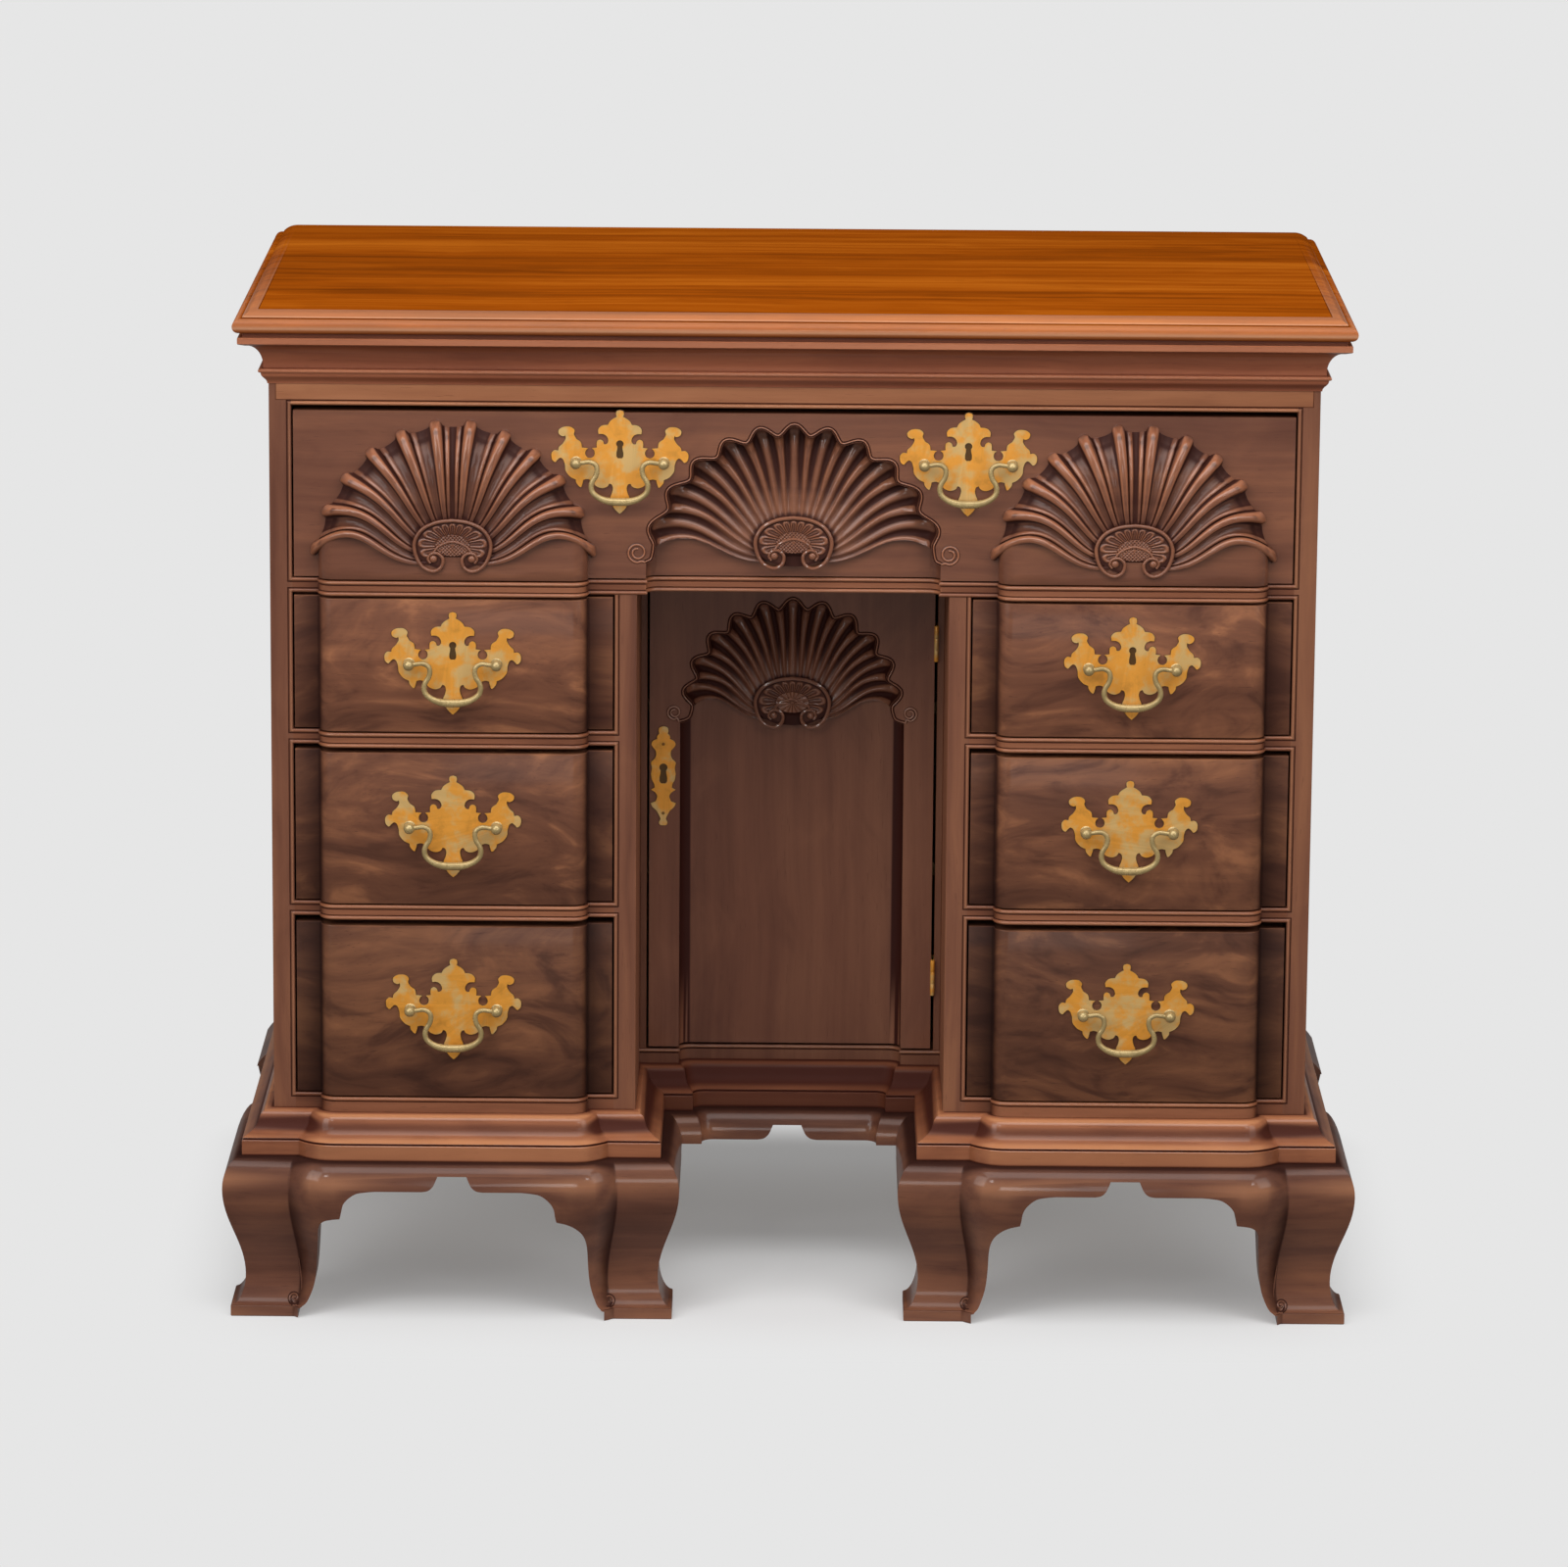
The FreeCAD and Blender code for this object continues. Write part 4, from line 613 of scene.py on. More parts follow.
def block_of(form, low, high, ease=0.5):
    """A plain strip of wood with its front arrises eased."""
    (x0, y0, z0), (x1, y1, z1) = low, high
    rings = [[(x0 + e, y, z0 + e), (x1 - e, y, z0 + e), (x1 - e, y, z1 - e), (x0 + e, y, z1 - e)]
             for e, y in ((ease, y0), (0, y0 + ease), (0, y1))]
    form.grid(rings, across=True, ends=(True, True))


def deepened(tones, share):
    """The tones of a wood, each multiplied by a share."""
    return [tuple(share * c for c in shade) for shade in tones]


form = Form()
for left, right in ((-knee, FRAME_STILE - knee), (knee - FRAME_STILE, knee)):
    block_of(form, (left, door_face, base_top), (right, frame_back, head_low))
block_of(form, (-knee, door_face, head_low), (knee, frame_back, long_rail))
rail_form(form, -knee, knee, door_face, base_top - RAIL_THICK, base_top, RAIL_DEEP, [SILL_BLOCK],
          (False, True))
DARK_TONES = (tone(92, 54, 40), tone(124, 78, 58), tone(148, 98, 72))
# The surround's tones are deepened, as painted shade.
dark_wood = wood("mahogany_dark", deepened(DARK_TONES, 0.74), grain="z", figure=0.4, rough=0.36)
placed(form.object("cupboard_surround"), dark_wood, "case", "mahogany_dark", "cupboard_frame")

# ---------------------------------------------------------------- base moulding
# A mahogany ogee over a flat band, mitred round the case, carried out round the blocks and
# returned into the kneehole.
KNEEHOLE_TUCK, BASE_BAND = 3.5, 14


def flowing(knots, steps=6):
    """Points along a smooth curve through knots of any dimension."""
    knots = [np.array(knot, float) for knot in knots]
    knots = [2 * knots[0] - knots[1]] + knots + [2 * knots[-1] - knots[-2]]
    points = []
    for a, b, c, d in zip(knots, knots[1:], knots[2:], knots[3:]):
        for step in range(steps):
            t = step / steps
            points.append(0.5 * (2 * b + (c - a) * t + (2 * a - 5 * b + 4 * c - d) * t ** 2
                                 + (3 * b - a - 3 * c + d) * t ** 3))
    return points + [knots[-2]]


base_low, base_high = span("base_moulding")
base_out = -base_low[0] - half_case
tuck_line = knee + KNEEHOLE_TUCK


def sill_edge(out):
    """The hollow of the kneehole's mouldings in plan, which keeps its round corners."""
    left = -DOOR_HOLLOW_WIDE / 2 + out / 2
    face = door_face - out
    one = arc((left + HOLLOW_ROUND, face + BLOCK_RISE - HOLLOW_ROUND), HOLLOW_ROUND, 180, 90, ARC_STEPS)
    return [(left, face)] + one


def block_line(out):
    """The raised block of the left side in plan, with the points of its creases."""
    edge = raised_edge(*LEFT_BLOCK[1:], front, out)
    return beside(edge[0][0], front - out, -1)[::-1] + edge + beside(edge[-1][0], front - out, 1)


def case_line(out):
    """The line of the case in plan, from the back left corner through the kneehole to the back right."""
    left = [(-half_case - out, back), (-half_case - out, front - out)] + block_line(out)
    left += [(out - tuck_line, front - out), (out - tuck_line, door_face - out)] + sill_edge(out)
    return left + [(-x, y) for x, y in reversed(left)]


low, top = base_low[2], base_high[2]
shoulder = low + BASE_BAND
# Each point of the section is (out, up, mark): a flat band, then the ogee over it. The marks are painted
# highlight on the ogee's shoulder and lip and pale over the band, with painted shade in the ogee's hollow and
# in the creases above and below the band.
base_profile = [(0, low, -0.5), (base_out - 0.4, low, -0.5), (base_out, low + 0.4, -0.7),
                (base_out, low + 2.2, 0.4), (base_out, shoulder - 1.2, 0.45),
                (base_out - 0.5, shoulder - 0.7, 0.5), (base_out - 1.5, shoulder - 0.6, -1)]
base_profile += [tuple(point) for point in flowing(
    [(base_out - 1.5, shoulder + 0.7, -1), (base_out - 0.5, shoulder + 1.3, 0.5),
     (base_out - 1.8, shoulder + 2.1, 0.8), (21, shoulder + 3.7, 0.6), (16.4, shoulder + 6.8, -0.2),
     (13.4, shoulder + 10.6, -0.55), (11.8, shoulder + 14.8, -0.4), (10.2, shoulder + 18.8, 0.3),
     (7, shoulder + 21.3, 0.9), (3, shoulder + 22.2, 0), (0, top, -1)], 3)]
# Painted shade and some dirt lie in the creases beside the blocks, and painted shade all over the part inside
# the kneehole.
half_line = case_line(0)[1:len(case_line(0)) // 2]
kneehole_part = [0.0] + [float(y > front + 5) for _, y in half_line]
crease_marks = creased([0], half_line)[0]
crease_shade_and_dirt = [0] + [0 if y > front + 5 else mark for (_, y), mark in zip(half_line, crease_marks)]
shade_and_dirt = list(zip(crease_shade_and_dirt + crease_shade_and_dirt[::-1], kneehole_part + kneehole_part[::-1]))
form = Form()
form.grid(swept(case_line, base_profile),
          relief=[[wear_and_painted_light * (1 - 0.5 * deep) + crease - 0.85 * deep for crease, deep in shade_and_dirt]
                  for _, _, wear_and_painted_light in base_profile], around=True, sides=(True, True))
base_wood = wood("mahogany_base", (tone(102, 56, 36), tone(140, 84, 56), tone(172, 110, 74)), figure=0.5,
                 gloss=0.4, worn=tone(202, 138, 94), rough=0.34, shade=0.5)
placed(form.object("base_ogee"), base_wood, "case", "mahogany", "base_moulding")

# ---------------------------------------------------------------- feet
# Ogee bracket feet, sawn and shaped from thick mahogany and mitred at the corners, with the
# blocks carried down the faces, a carved scroll at each toe and a flat pad under it.
FOOT_HEIGHT, PAD_HEIGHT, PAD_OUT, PAD_WIDE = base_low[2], 9.5, 35.5, 57
WAIST_OUT, WAIST_HEIGHT, BULGE_OUT, BULGE_HEIGHT, CROWN_OUT = 23.4, 34, 41.5, 113, 26.5
HOLLOW_STEPS, OGEE_STEPS, CROWN_STEPS = 10, 16, 9
APRON, NOTCH, NOTCH_WIDE = 116, 12.6, 24.4
foot_profile = [(0, 0), (PAD_OUT - 0.8, 0), (PAD_OUT, 0.8), (PAD_OUT, PAD_HEIGHT - 0.5),
                (PAD_OUT - 0.5, PAD_HEIGHT)]
for step in range(HOLLOW_STEPS + 1):
    turn = math.pi / 2 * step / HOLLOW_STEPS
    foot_profile.append((PAD_OUT - 1 - (PAD_OUT - 1 - WAIST_OUT) * math.sin(turn),
                         PAD_HEIGHT + 0.2 + (WAIST_HEIGHT - PAD_HEIGHT) * (1 - math.cos(turn))))
foot_profile += ogee((WAIST_OUT, WAIST_HEIGHT), (BULGE_OUT, BULGE_HEIGHT), OGEE_STEPS)[1:]
for step in range(1, CROWN_STEPS + 1):
    turn = math.pi / 2 * step / CROWN_STEPS
    foot_profile.append((BULGE_OUT - (BULGE_OUT - CROWN_OUT) * (1 - math.cos(turn)),
                         BULGE_HEIGHT + (FOOT_HEIGHT - BULGE_HEIGHT) * math.sin(turn)))
foot_profile.append((0, FOOT_HEIGHT))
# Marks of the foot's section from the pad up: pale on the pad's edge and the bulge, for wear and painted
# highlight, and painted shade in the crease over the pad and under the base band.
foot_wear_and_light = [-0.4, 0.1, 0.5, 0.3, -0.5, 0.4, 0.3] + [0.1] * 9 + [0.0] * 12 + [0.05, 0.15, 0.25, 0.35] \
    + [0.5, 0.6, 0.5, 0.3, 0.1, -0.2, -0.5, -0.9, -1, 0]
foot_wood = wood("mahogany_foot", (tone(66, 38, 29), tone(100, 62, 47), tone(136, 88, 62)), figure=0.5,
                 gloss=0.3, shine=0.15)


def circle(sides):
    """The angles of points round a circle."""
    return [2 * math.pi * step / sides for step in range(sides)]


def rod(form, path, radii, sides=8, relief=0.35):
    """A round bead along a path of (x, y, z) points, with a radius for each."""
    path = [Vector(point) for point in path]
    rings, up = [], Vector((0, 1, 0))
    for index, (here, radius) in enumerate(zip(path, radii)):
        way = (path[min(index + 1, len(path) - 1)] - path[max(index - 1, 0)]).normalized()
        side = way.cross(up).normalized()
        other = side.cross(way)
        rings.append([tuple(here + side * radius * math.cos(turn) + other * radius * math.sin(turn))
                      for turn in circle(sides)])
    form.grid(rings, relief=[relief] * len(rings), across=True, ends=(True, True))


def prism(ring, axis, low, high):
    """A cutter: an outline in the XZ or YZ plane, carried along the other level axis."""
    form = Form()
    near = [(x, low, z) if axis == "y" else (low, x, z) for x, z in ring]
    far = [(x, high, z) if axis == "y" else (high, x, z) for x, z in ring]
    form.grid([near, far], across=True, ends=(True, True))
    return form.object("cutter")


def cut(made, *cutters):
    """Saw shapes out of a piece, and throw the cutters away."""
    for cutter in cutters:
        saw = made.modifiers.new("saw", "BOOLEAN")
        saw.operation, saw.solver, saw.object = "DIFFERENCE", "EXACT", cutter
    bpy.context.view_layer.update()
    shape = bpy.data.meshes.new_from_object(made.evaluated_get(bpy.context.evaluated_depsgraph_get()))
    made.modifiers.clear()
    made.data = shape
    for cutter in cutters:
        bpy.data.objects.remove(cutter)
    shape.polygons.foreach_set("use_smooth", [True] * len(shape.polygons))
    shape.set_sharp_from_angle(angle=math.radians(32))
    return made


# The inner edge of a foot, from its toe up, as distances from the toe and shares of the apron's height.
OUTER_TOE = ([(1.5, 0.075), (7.7, 0.116), (13.6, 0.24), (16, 0.38), (17.4, 0.57), (18.2, 0.7)],
             [(18.5, 0.705), (20, 0.738), (24, 0.765), (30, 0.778), (36.6, 0.784)])
INNER_TOE = ([(1.5, 0.075), (6.6, 0.116), (11.6, 0.24), (13.6, 0.38), (14.6, 0.56), (17.6, 0.655),
              (23.6, 0.715), (31, 0.75), (40, 0.77)],)
TOE_ARCH = [(0, 0), (1, 0.036), (2.4, 0.1), (6.4, 0.152), (13.6, 0.196), (22, 0.21), (30, 0.216)]


def toe_edge(edge, way, toe):
    """The shaped inner edge of a foot: up from its toe, over a cusp and round into the apron."""
    knots = [point for stretch in toe for point in flowing(stretch, 4)]
    cusp_out, cusp_up = toe[-1][-1]
    rise = (1 - cusp_up) / TOE_ARCH[-1][1]
    knots += [(cusp_out + out, cusp_up + up * rise) for out, up in flowing(TOE_ARCH, 4)[1:]]
    return [(edge, -1), (edge, APRON * 0.07)] + [(edge + way * out, APRON * share) for out, share in knots]


def notched(left, right, middle):
    """A shaped edge with a flat-topped notch in the middle of its apron."""
    half = NOTCH_WIDE / 2
    rise = flowing([(-half - 13.4, 0), (-half - 8, 0.08 * NOTCH), (-half - 4, 0.34 * NOTCH),
                    (-half - 1.5, 0.72 * NOTCH), (-half, NOTCH)], 3)
    notch = [(middle + out, APRON + up) for out, up in rise]
    notch += [(middle - out, APRON + up) for out, up in reversed(rise)]
    return left + notch + right[::-1]


outer_toe, inner_toe = -half_case - PAD_OUT + PAD_WIDE, -tuck_line + PAD_OUT - PAD_WIDE
front_arch = notched(toe_edge(outer_toe, 1, OUTER_TOE), toe_edge(inner_toe, -1, INNER_TOE), -bay_middle)
side_toe = front - PAD_OUT + PAD_WIDE
SIDE_REACH = 131
side_arch = toe_edge(side_toe, 1, OUTER_TOE)
side_arch += [(side_toe + SIDE_REACH, FOOT_HEIGHT + 1), (back, FOOT_HEIGHT + 1), (back, -1)]
KNEEHOLE_FOOT_END, KNEEHOLE_ARCH_END = 9, 60
kneehole_arch = toe_edge(side_toe, 1, INNER_TOE)
kneehole_arch += [(door_face + KNEEHOLE_ARCH_END, APRON), (door_face + KNEEHOLE_ARCH_END, -1)]
half_block = ARC_STEPS + 2


def outer_line(out):
    """The faces of an outer foot in plan: along the side, and along the front to the block's middle."""
    left = block_line(out)[:half_block + 2]
    return [(-half_case - out, side_toe + SIDE_REACH + 1), (-half_case - out, front - out)] + left \
        + [(-bay_middle, left[-1][1])]


def inner_line(out):
    """The faces of an inner foot in plan: from the block's middle, and back into the kneehole."""
    right = block_line(out)[-half_block - 2:]
    return [(-bay_middle, right[0][1])] + right \
        + [(out - tuck_line, front - out), (out - tuck_line, door_face - PAD_OUT + KNEEHOLE_FOOT_END)]


# Dirt and painted shade in the creases where the blocks meet the flats of the feet.
fading_shade_and_dirt = [max(1 - 0.25 * max(step - 1, 0), 0) for step in range(half_block + 1)]
OUTER_SHADE_AND_DIRT = [0, 0, 0.4, 1] + fading_shade_and_dirt
INNER_SHADE_AND_DIRT = fading_shade_and_dirt[::-1] + [1, 0.4, 0.3, 0.8]


def swept_foot(line, shade_and_dirt):
    """The full height of a bracket foot, before its arch is sawn."""
    form = Form()
    marks = [[mark - 0.75 * shade_and_grime for shade_and_grime in shade_and_dirt] for mark in foot_wear_and_light]
    form.grid(swept(line, foot_profile), relief=marks, around=True, sides=(True, True))
    return form


foot_outer = swept_foot(outer_line, OUTER_SHADE_AND_DIRT)
foot_inner = swept_foot(inner_line, INNER_SHADE_AND_DIRT)
foot_out, foot_up = np.array(foot_profile[5:-1]).T
SCROLL_HEIGHT, SCROLL_INWARD, SCROLL_SIZE, SCROLL_STEPS = 14.5, 3.4, 6, 36


def toe_scroll(form, x, z, way):
    """A small scroll carved where the block's edge runs out on the toe; way says which way it winds."""
    spots = [(x + way * out, z + up) for out, up in ((3.6, 34), (5, 22), (6.2, 12), (6.4, 5))]
    for step in range(SCROLL_STEPS + 1):
        turn = math.radians(15 - 14 * step)
        size = SCROLL_SIZE * (1 - 0.8 * step / SCROLL_STEPS)
        spots.append((x + way * size * math.cos(turn), z + size * math.sin(turn)))
    path = [(px, front - np.interp(up, foot_up, foot_out) - 0.3, up) for px, up in spots]
    count = len(path) - 1
    rod(form, path, [min(0.4 + 0.3 * step, 1.3 - 0.5 * step / count) for step in range(count + 1)],
        relief=0.1)
    # A thicker rod just behind the scroll is painted dark, as painted shade round the carved line.
    rod(form, [(px, py + 0.9, pz) for px, py, pz in path],
        [min(0.8 + 0.35 * step, 2 - 0.6 * step / count) for step in range(count + 1)], relief=-0.9)


scrolls = Form()
toe_scroll(scrolls, outer_toe - SCROLL_INWARD, SCROLL_HEIGHT, 1)
toe_scroll(scrolls, inner_toe + SCROLL_INWARD, SCROLL_HEIGHT, -1)
placed(scrolls.object("toe_scrolls_left"), foot_wood, "case", "mahogany")
placed(scrolls.mirrored().object("toe_scrolls_right"), foot_wood, "case", "mahogany")
for side, way in (("left", -1), ("right", 1)):
    arch = [(-way * x, z) for x, z in front_arch]
    for place, foot, side_cut, start, end in (
            ("outer", foot_outer, side_arch, half_case - 1, half_case + 60),
            ("inner", foot_inner, kneehole_arch, tuck_line + 1, tuck_line - 60)):
        made = (foot if side == "left" else foot.mirrored()).object(f"foot_{side}_{place}")
        cut(made, prism(arch, "y", front - 80, front + 1),
            prism(side_cut, "x", *sorted((way * start, way * end))))
        placed(made, foot_wood, "case", "mahogany", f"foot_front_{side}_{place}")
softened("feet_rear", foot_wood)


def apron_line(out):
    """The apron behind the kneehole in plan, under the hollow of the moulding."""
    half = [(out - tuck_line, door_face - out)] + sill_edge(out)
    return half + [(-x, y) for x, y in reversed(half)]


NOTCH_OFF_MIDDLE, APRON_REACH = -1.6, 200
apron_low, apron_back = span("kneehole_apron")[0][2], span("kneehole_apron")[1][1]
apron_rows = swept(apron_line, foot_profile[5:])
apron_rows += [[(x, apron_back, up) for x, _ in apron_line(0)] for up in (FOOT_HEIGHT, PAD_HEIGHT)]
# The apron's marks are lowered, and its back rows darkened, as painted shade in the kneehole.
form = Form()
form.grid(apron_rows, relief=[mark - 0.2 for mark in foot_wear_and_light[5:]] + [-0.5, -0.5], around=True,
          sides=(True, True))
apron_arch = [(-APRON_REACH, -1), (-APRON_REACH, apron_low)]
apron_arch += [(out, up - APRON + apron_low) for out, up in notched([], [], NOTCH_OFF_MIDDLE)]
apron_arch += [(APRON_REACH, apron_low), (APRON_REACH, -1)]
made = cut(form.object("apron_between"), prism(apron_arch, "y", door_face - 80, apron_back + 1))
placed(made, foot_wood, "case", "mahogany", "kneehole_apron")

# ---------------------------------------------------------------- long drawer
# A mahogany front 27 mm thick. Its middle is carved hollow with an eleven-fluted shell, and a raised
# shell of twelve ribs, carved in the solid with the block below it, is glued on at each end.
SHELL_HEIGHT, FRONT_THICK = 30, 27
RIBS, FLUTES = 12, 11
OVAL_WIDE, OVAL_HIGH, OVAL_LAP = 33.0, 21.5, 2.0
long_low, long_high = span("long_drawer_front")
shell_height = long_low[2] + SHELL_HEIGHT


def eased_through(knots, values):
    """A smooth curve through knots, worked out for many values at once."""
    places, heights = np.array(knots, float).T
    slopes = np.gradient(heights, places)
    spot = np.clip(np.searchsorted(places, values, side="right") - 1, 0, len(places) - 2)
    wide = places[spot + 1] - places[spot]
    t = np.clip((values - places[spot]) / wide, 0, 1)
    a, b = heights[spot], heights[spot + 1]
    return ((2 * t ** 3 - 3 * t ** 2 + 1) * a + (t ** 3 - 2 * t ** 2 + t) * wide * slopes[spot]
            + (3 * t ** 2 - 2 * t ** 3) * b + (t ** 3 - t ** 2) * wide * slopes[spot + 1])


def oval_reach(angle, grow=0.0):
    """How far the oval at a shell's heart reaches, at an angle from upright."""
    wide, high = OVAL_WIDE + grow, OVAL_HIGH + grow
    return 1 / np.hypot(np.sin(angle) / wide, np.cos(angle) / high)


def fanned(tip, share, lean, sway):
    """The angle of a rib part of the way out: it leaves the oval low, rises, and droops to its tip."""
    side, turn = np.sign(tip), np.abs(tip) / (math.pi / 2)
    lean = np.radians(lean) * np.sqrt(turn) * (1 + 0.25 * turn ** 6)
    return tip + side * (lean * (1 - share) ** 3 - np.radians(sway) * turn ** 3 * np.sin(np.pi * share))


def worked(heights, rows=2, columns=3):
    """How far a carved surface stands over (+) or under (-) what lies round it: wear and painted highlight
    where over, grime and painted shade where under.
    """
    soft = heights.copy()
    for _ in range(columns):
        soft[:, 1:-1] = (soft[:, :-2] + 2 * soft[:, 1:-1] + soft[:, 2:]) / 4
    for _ in range(rows):
        soft[1:-1] = (soft[:-2] + 2 * soft[1:-1] + soft[2:]) / 4
    return heights - soft


def fan_place(tip, share, reach, lean, sway):
    """Where points of a shell lie beside and over its oval, from their rib and their share of its length."""
    angle = fanned(tip, share, lean, sway)
    start = oval_reach(angle, -OVAL_LAP)
    radius = start + (reach(tip) - start) * share
    return radius * np.sin(angle), radius * np.cos(angle)


def oval_shade_and_dirt(share):
    """Dirt and painted shade where a shell runs under its oval."""
    return np.exp(-((share - 0.02) / 0.05) ** 2)


def rows_of(x, y, z):
    """Rows of corners from three arrays."""
    return [[tuple(corner) for corner in row] for row in np.stack(np.broadcast_arrays(x, y, z), -1).tolist()]


RIB_TURN, RIB_HALF, RIB_LEAN, RIB_SWAY = math.radians(16.9), 0.19, 25, 10.5
RAISED_REACH, RAISED_SPREAD, RIB_TIP = 103.5, 14.0, 5.2
# How far a rib's crown and its foot stand out along its length, as (share, rise).
RIB_TOP = [(0, 17.2), (0.1, 18.6), (0.25, 21), (0.45, 22.6), (0.62, 21.8), (0.78, 18.8), (0.9, 14.5),
           (1, 9.5)]
RIB_FOOT = [(0, 16.4), (0.1, 17), (0.25, 18.6), (0.45, 19.4), (0.62, 17.8), (0.78, 13.2), (0.9, 7.5),
            (1, 2.4)]


def rib_place(tip):
    """Which gap between ribs a tip angle falls in, 0 to 1 from the outer rib to the inner one."""
    place = np.abs(tip) / RIB_TURN + 0.5
    inner = np.floor(place)
    return 1 - (place - inner), inner


def raised_reach(tip):
    """The outline of a raised shell: round rib ends with shallow valleys between them."""
    place, _ = rib_place(tip)
    turn = np.abs(tip) / (math.pi / 2)
    reach = RAISED_REACH + RAISED_SPREAD * turn ** 3
    near = np.minimum(place, 1 - place)
    round_tip = RIB_TIP * (1 - np.sqrt(np.clip(1 - (near / RIB_HALF) ** 2, 0, 1)))
    valley = np.clip((near - RIB_HALF) / (0.5 - RIB_HALF), 0, 1)
    return reach - np.where(near < RIB_HALF, round_tip, RIB_TIP + 1.6 * np.sin(valley * math.pi / 2))


def raised_height(share, tip):
    """How far a raised shell stands out: round ribs, each with a ridge and a scoop on its outer side."""
    place, inner = rib_place(tip)
    top, foot = eased_through(RIB_TOP, share), eased_through(RIB_FOOT, share)
    near = np.minimum(place, 1 - place)
    rib = np.sqrt(np.clip(1 - (near / RIB_HALF) ** 2, 0, 1)) ** 0.85
    size = np.clip(0.35 + 0.9 * share, 0, 1)
    middle_gap = inner == 0
    from_outer = np.where(middle_gap, near, place)
    ridge = np.clip(1 - ((from_outer - 0.31) / 0.09) ** 2, 0, 1) ** 0.7
    scoop = np.sin(np.clip((from_outer - 0.4) / 0.42, 0, 1) * math.pi)
    scoop = np.where(middle_gap, np.sin(np.clip((near - 0.38) / 0.12, 0, 1) * math.pi / 2), scoop)
    between = foot + size * (1.5 * ridge - 1.9 * scoop)
    crease = np.exp(-((near - RIB_HALF) / 0.028) ** 2) * 1.1 * size
    nose = np.clip((share - 0.93) / 0.07, 0, 1)
    level = between + (top - between) * rib - crease
    level = np.where(near < RIB_HALF, level * (1 - nose ** 2 * 0.55), level * (1 - nose ** 2 * 0.3))
    return np.maximum(level, 0.6)


def raised_shade(share, tip):
    """Painted shade, with some dirt, in the hollows between the ribs, deepest beside them and out at the
    edge.
    """
    place, _ = rib_place(tip)
    near = np.minimum(place, 1 - place)
    crease = np.exp(-((near - RIB_HALF) / 0.05) ** 2)
    return np.where(near < RIB_HALF * 0.8, 0, 0.3 + 0.5 * crease + 0.4 * np.clip((share - 0.85) / 0.15, 0, 1))


# The scroll border of an oval, as (across, up, thick), and the lower line of its fan.
SCROLL_RIGHT = [(0, 21, 1.55), (13, 19.2, 1.55), (25, 13.4, 1.55), (31.4, 3, 1.55), (30.6, -8, 1.55),
                (25.4, -17.6, 1.55), (16.6, -22, 1.55), (9.6, -18.6, 1.5), (7.9, -11.6, 1.4),
                (12.2, -7, 1.3), (18, -7.4, 1.2), (20.4, -11.6, 1.1), (18.4, -15, 1.0)]
INNER_SCROLL = [(16, -6.6, 1.05), (10.9, -0.6, 1.05), (0, 3, 1.05), (-10.9, -0.6, 1.05), (-16, -6.6, 1.05)]
BUTTON, BUTTON_ROUND, BUTTON_RISE = (15.9, -11.5), 3.2, 2.6


def boss(form, x, y, z, radius, rise, relief=0.4):
    """A small round button on a face that looks along -Y."""
    rings = [[(x + radius * math.cos(turn) * out, y - rise * up, z + radius * math.sin(turn) * out)
              for turn in circle(16)]
             for out, up in ((1, -0.6), (1, 0.2), (0.85, 0.65), (0.5, 0.93), (0.12, 1))]
    # The button is painted dark at its foot, as painted shade round it.
    form.grid(rings, relief=[-0.4, -0.1, relief, relief, relief], across=True, ends=(False, True))


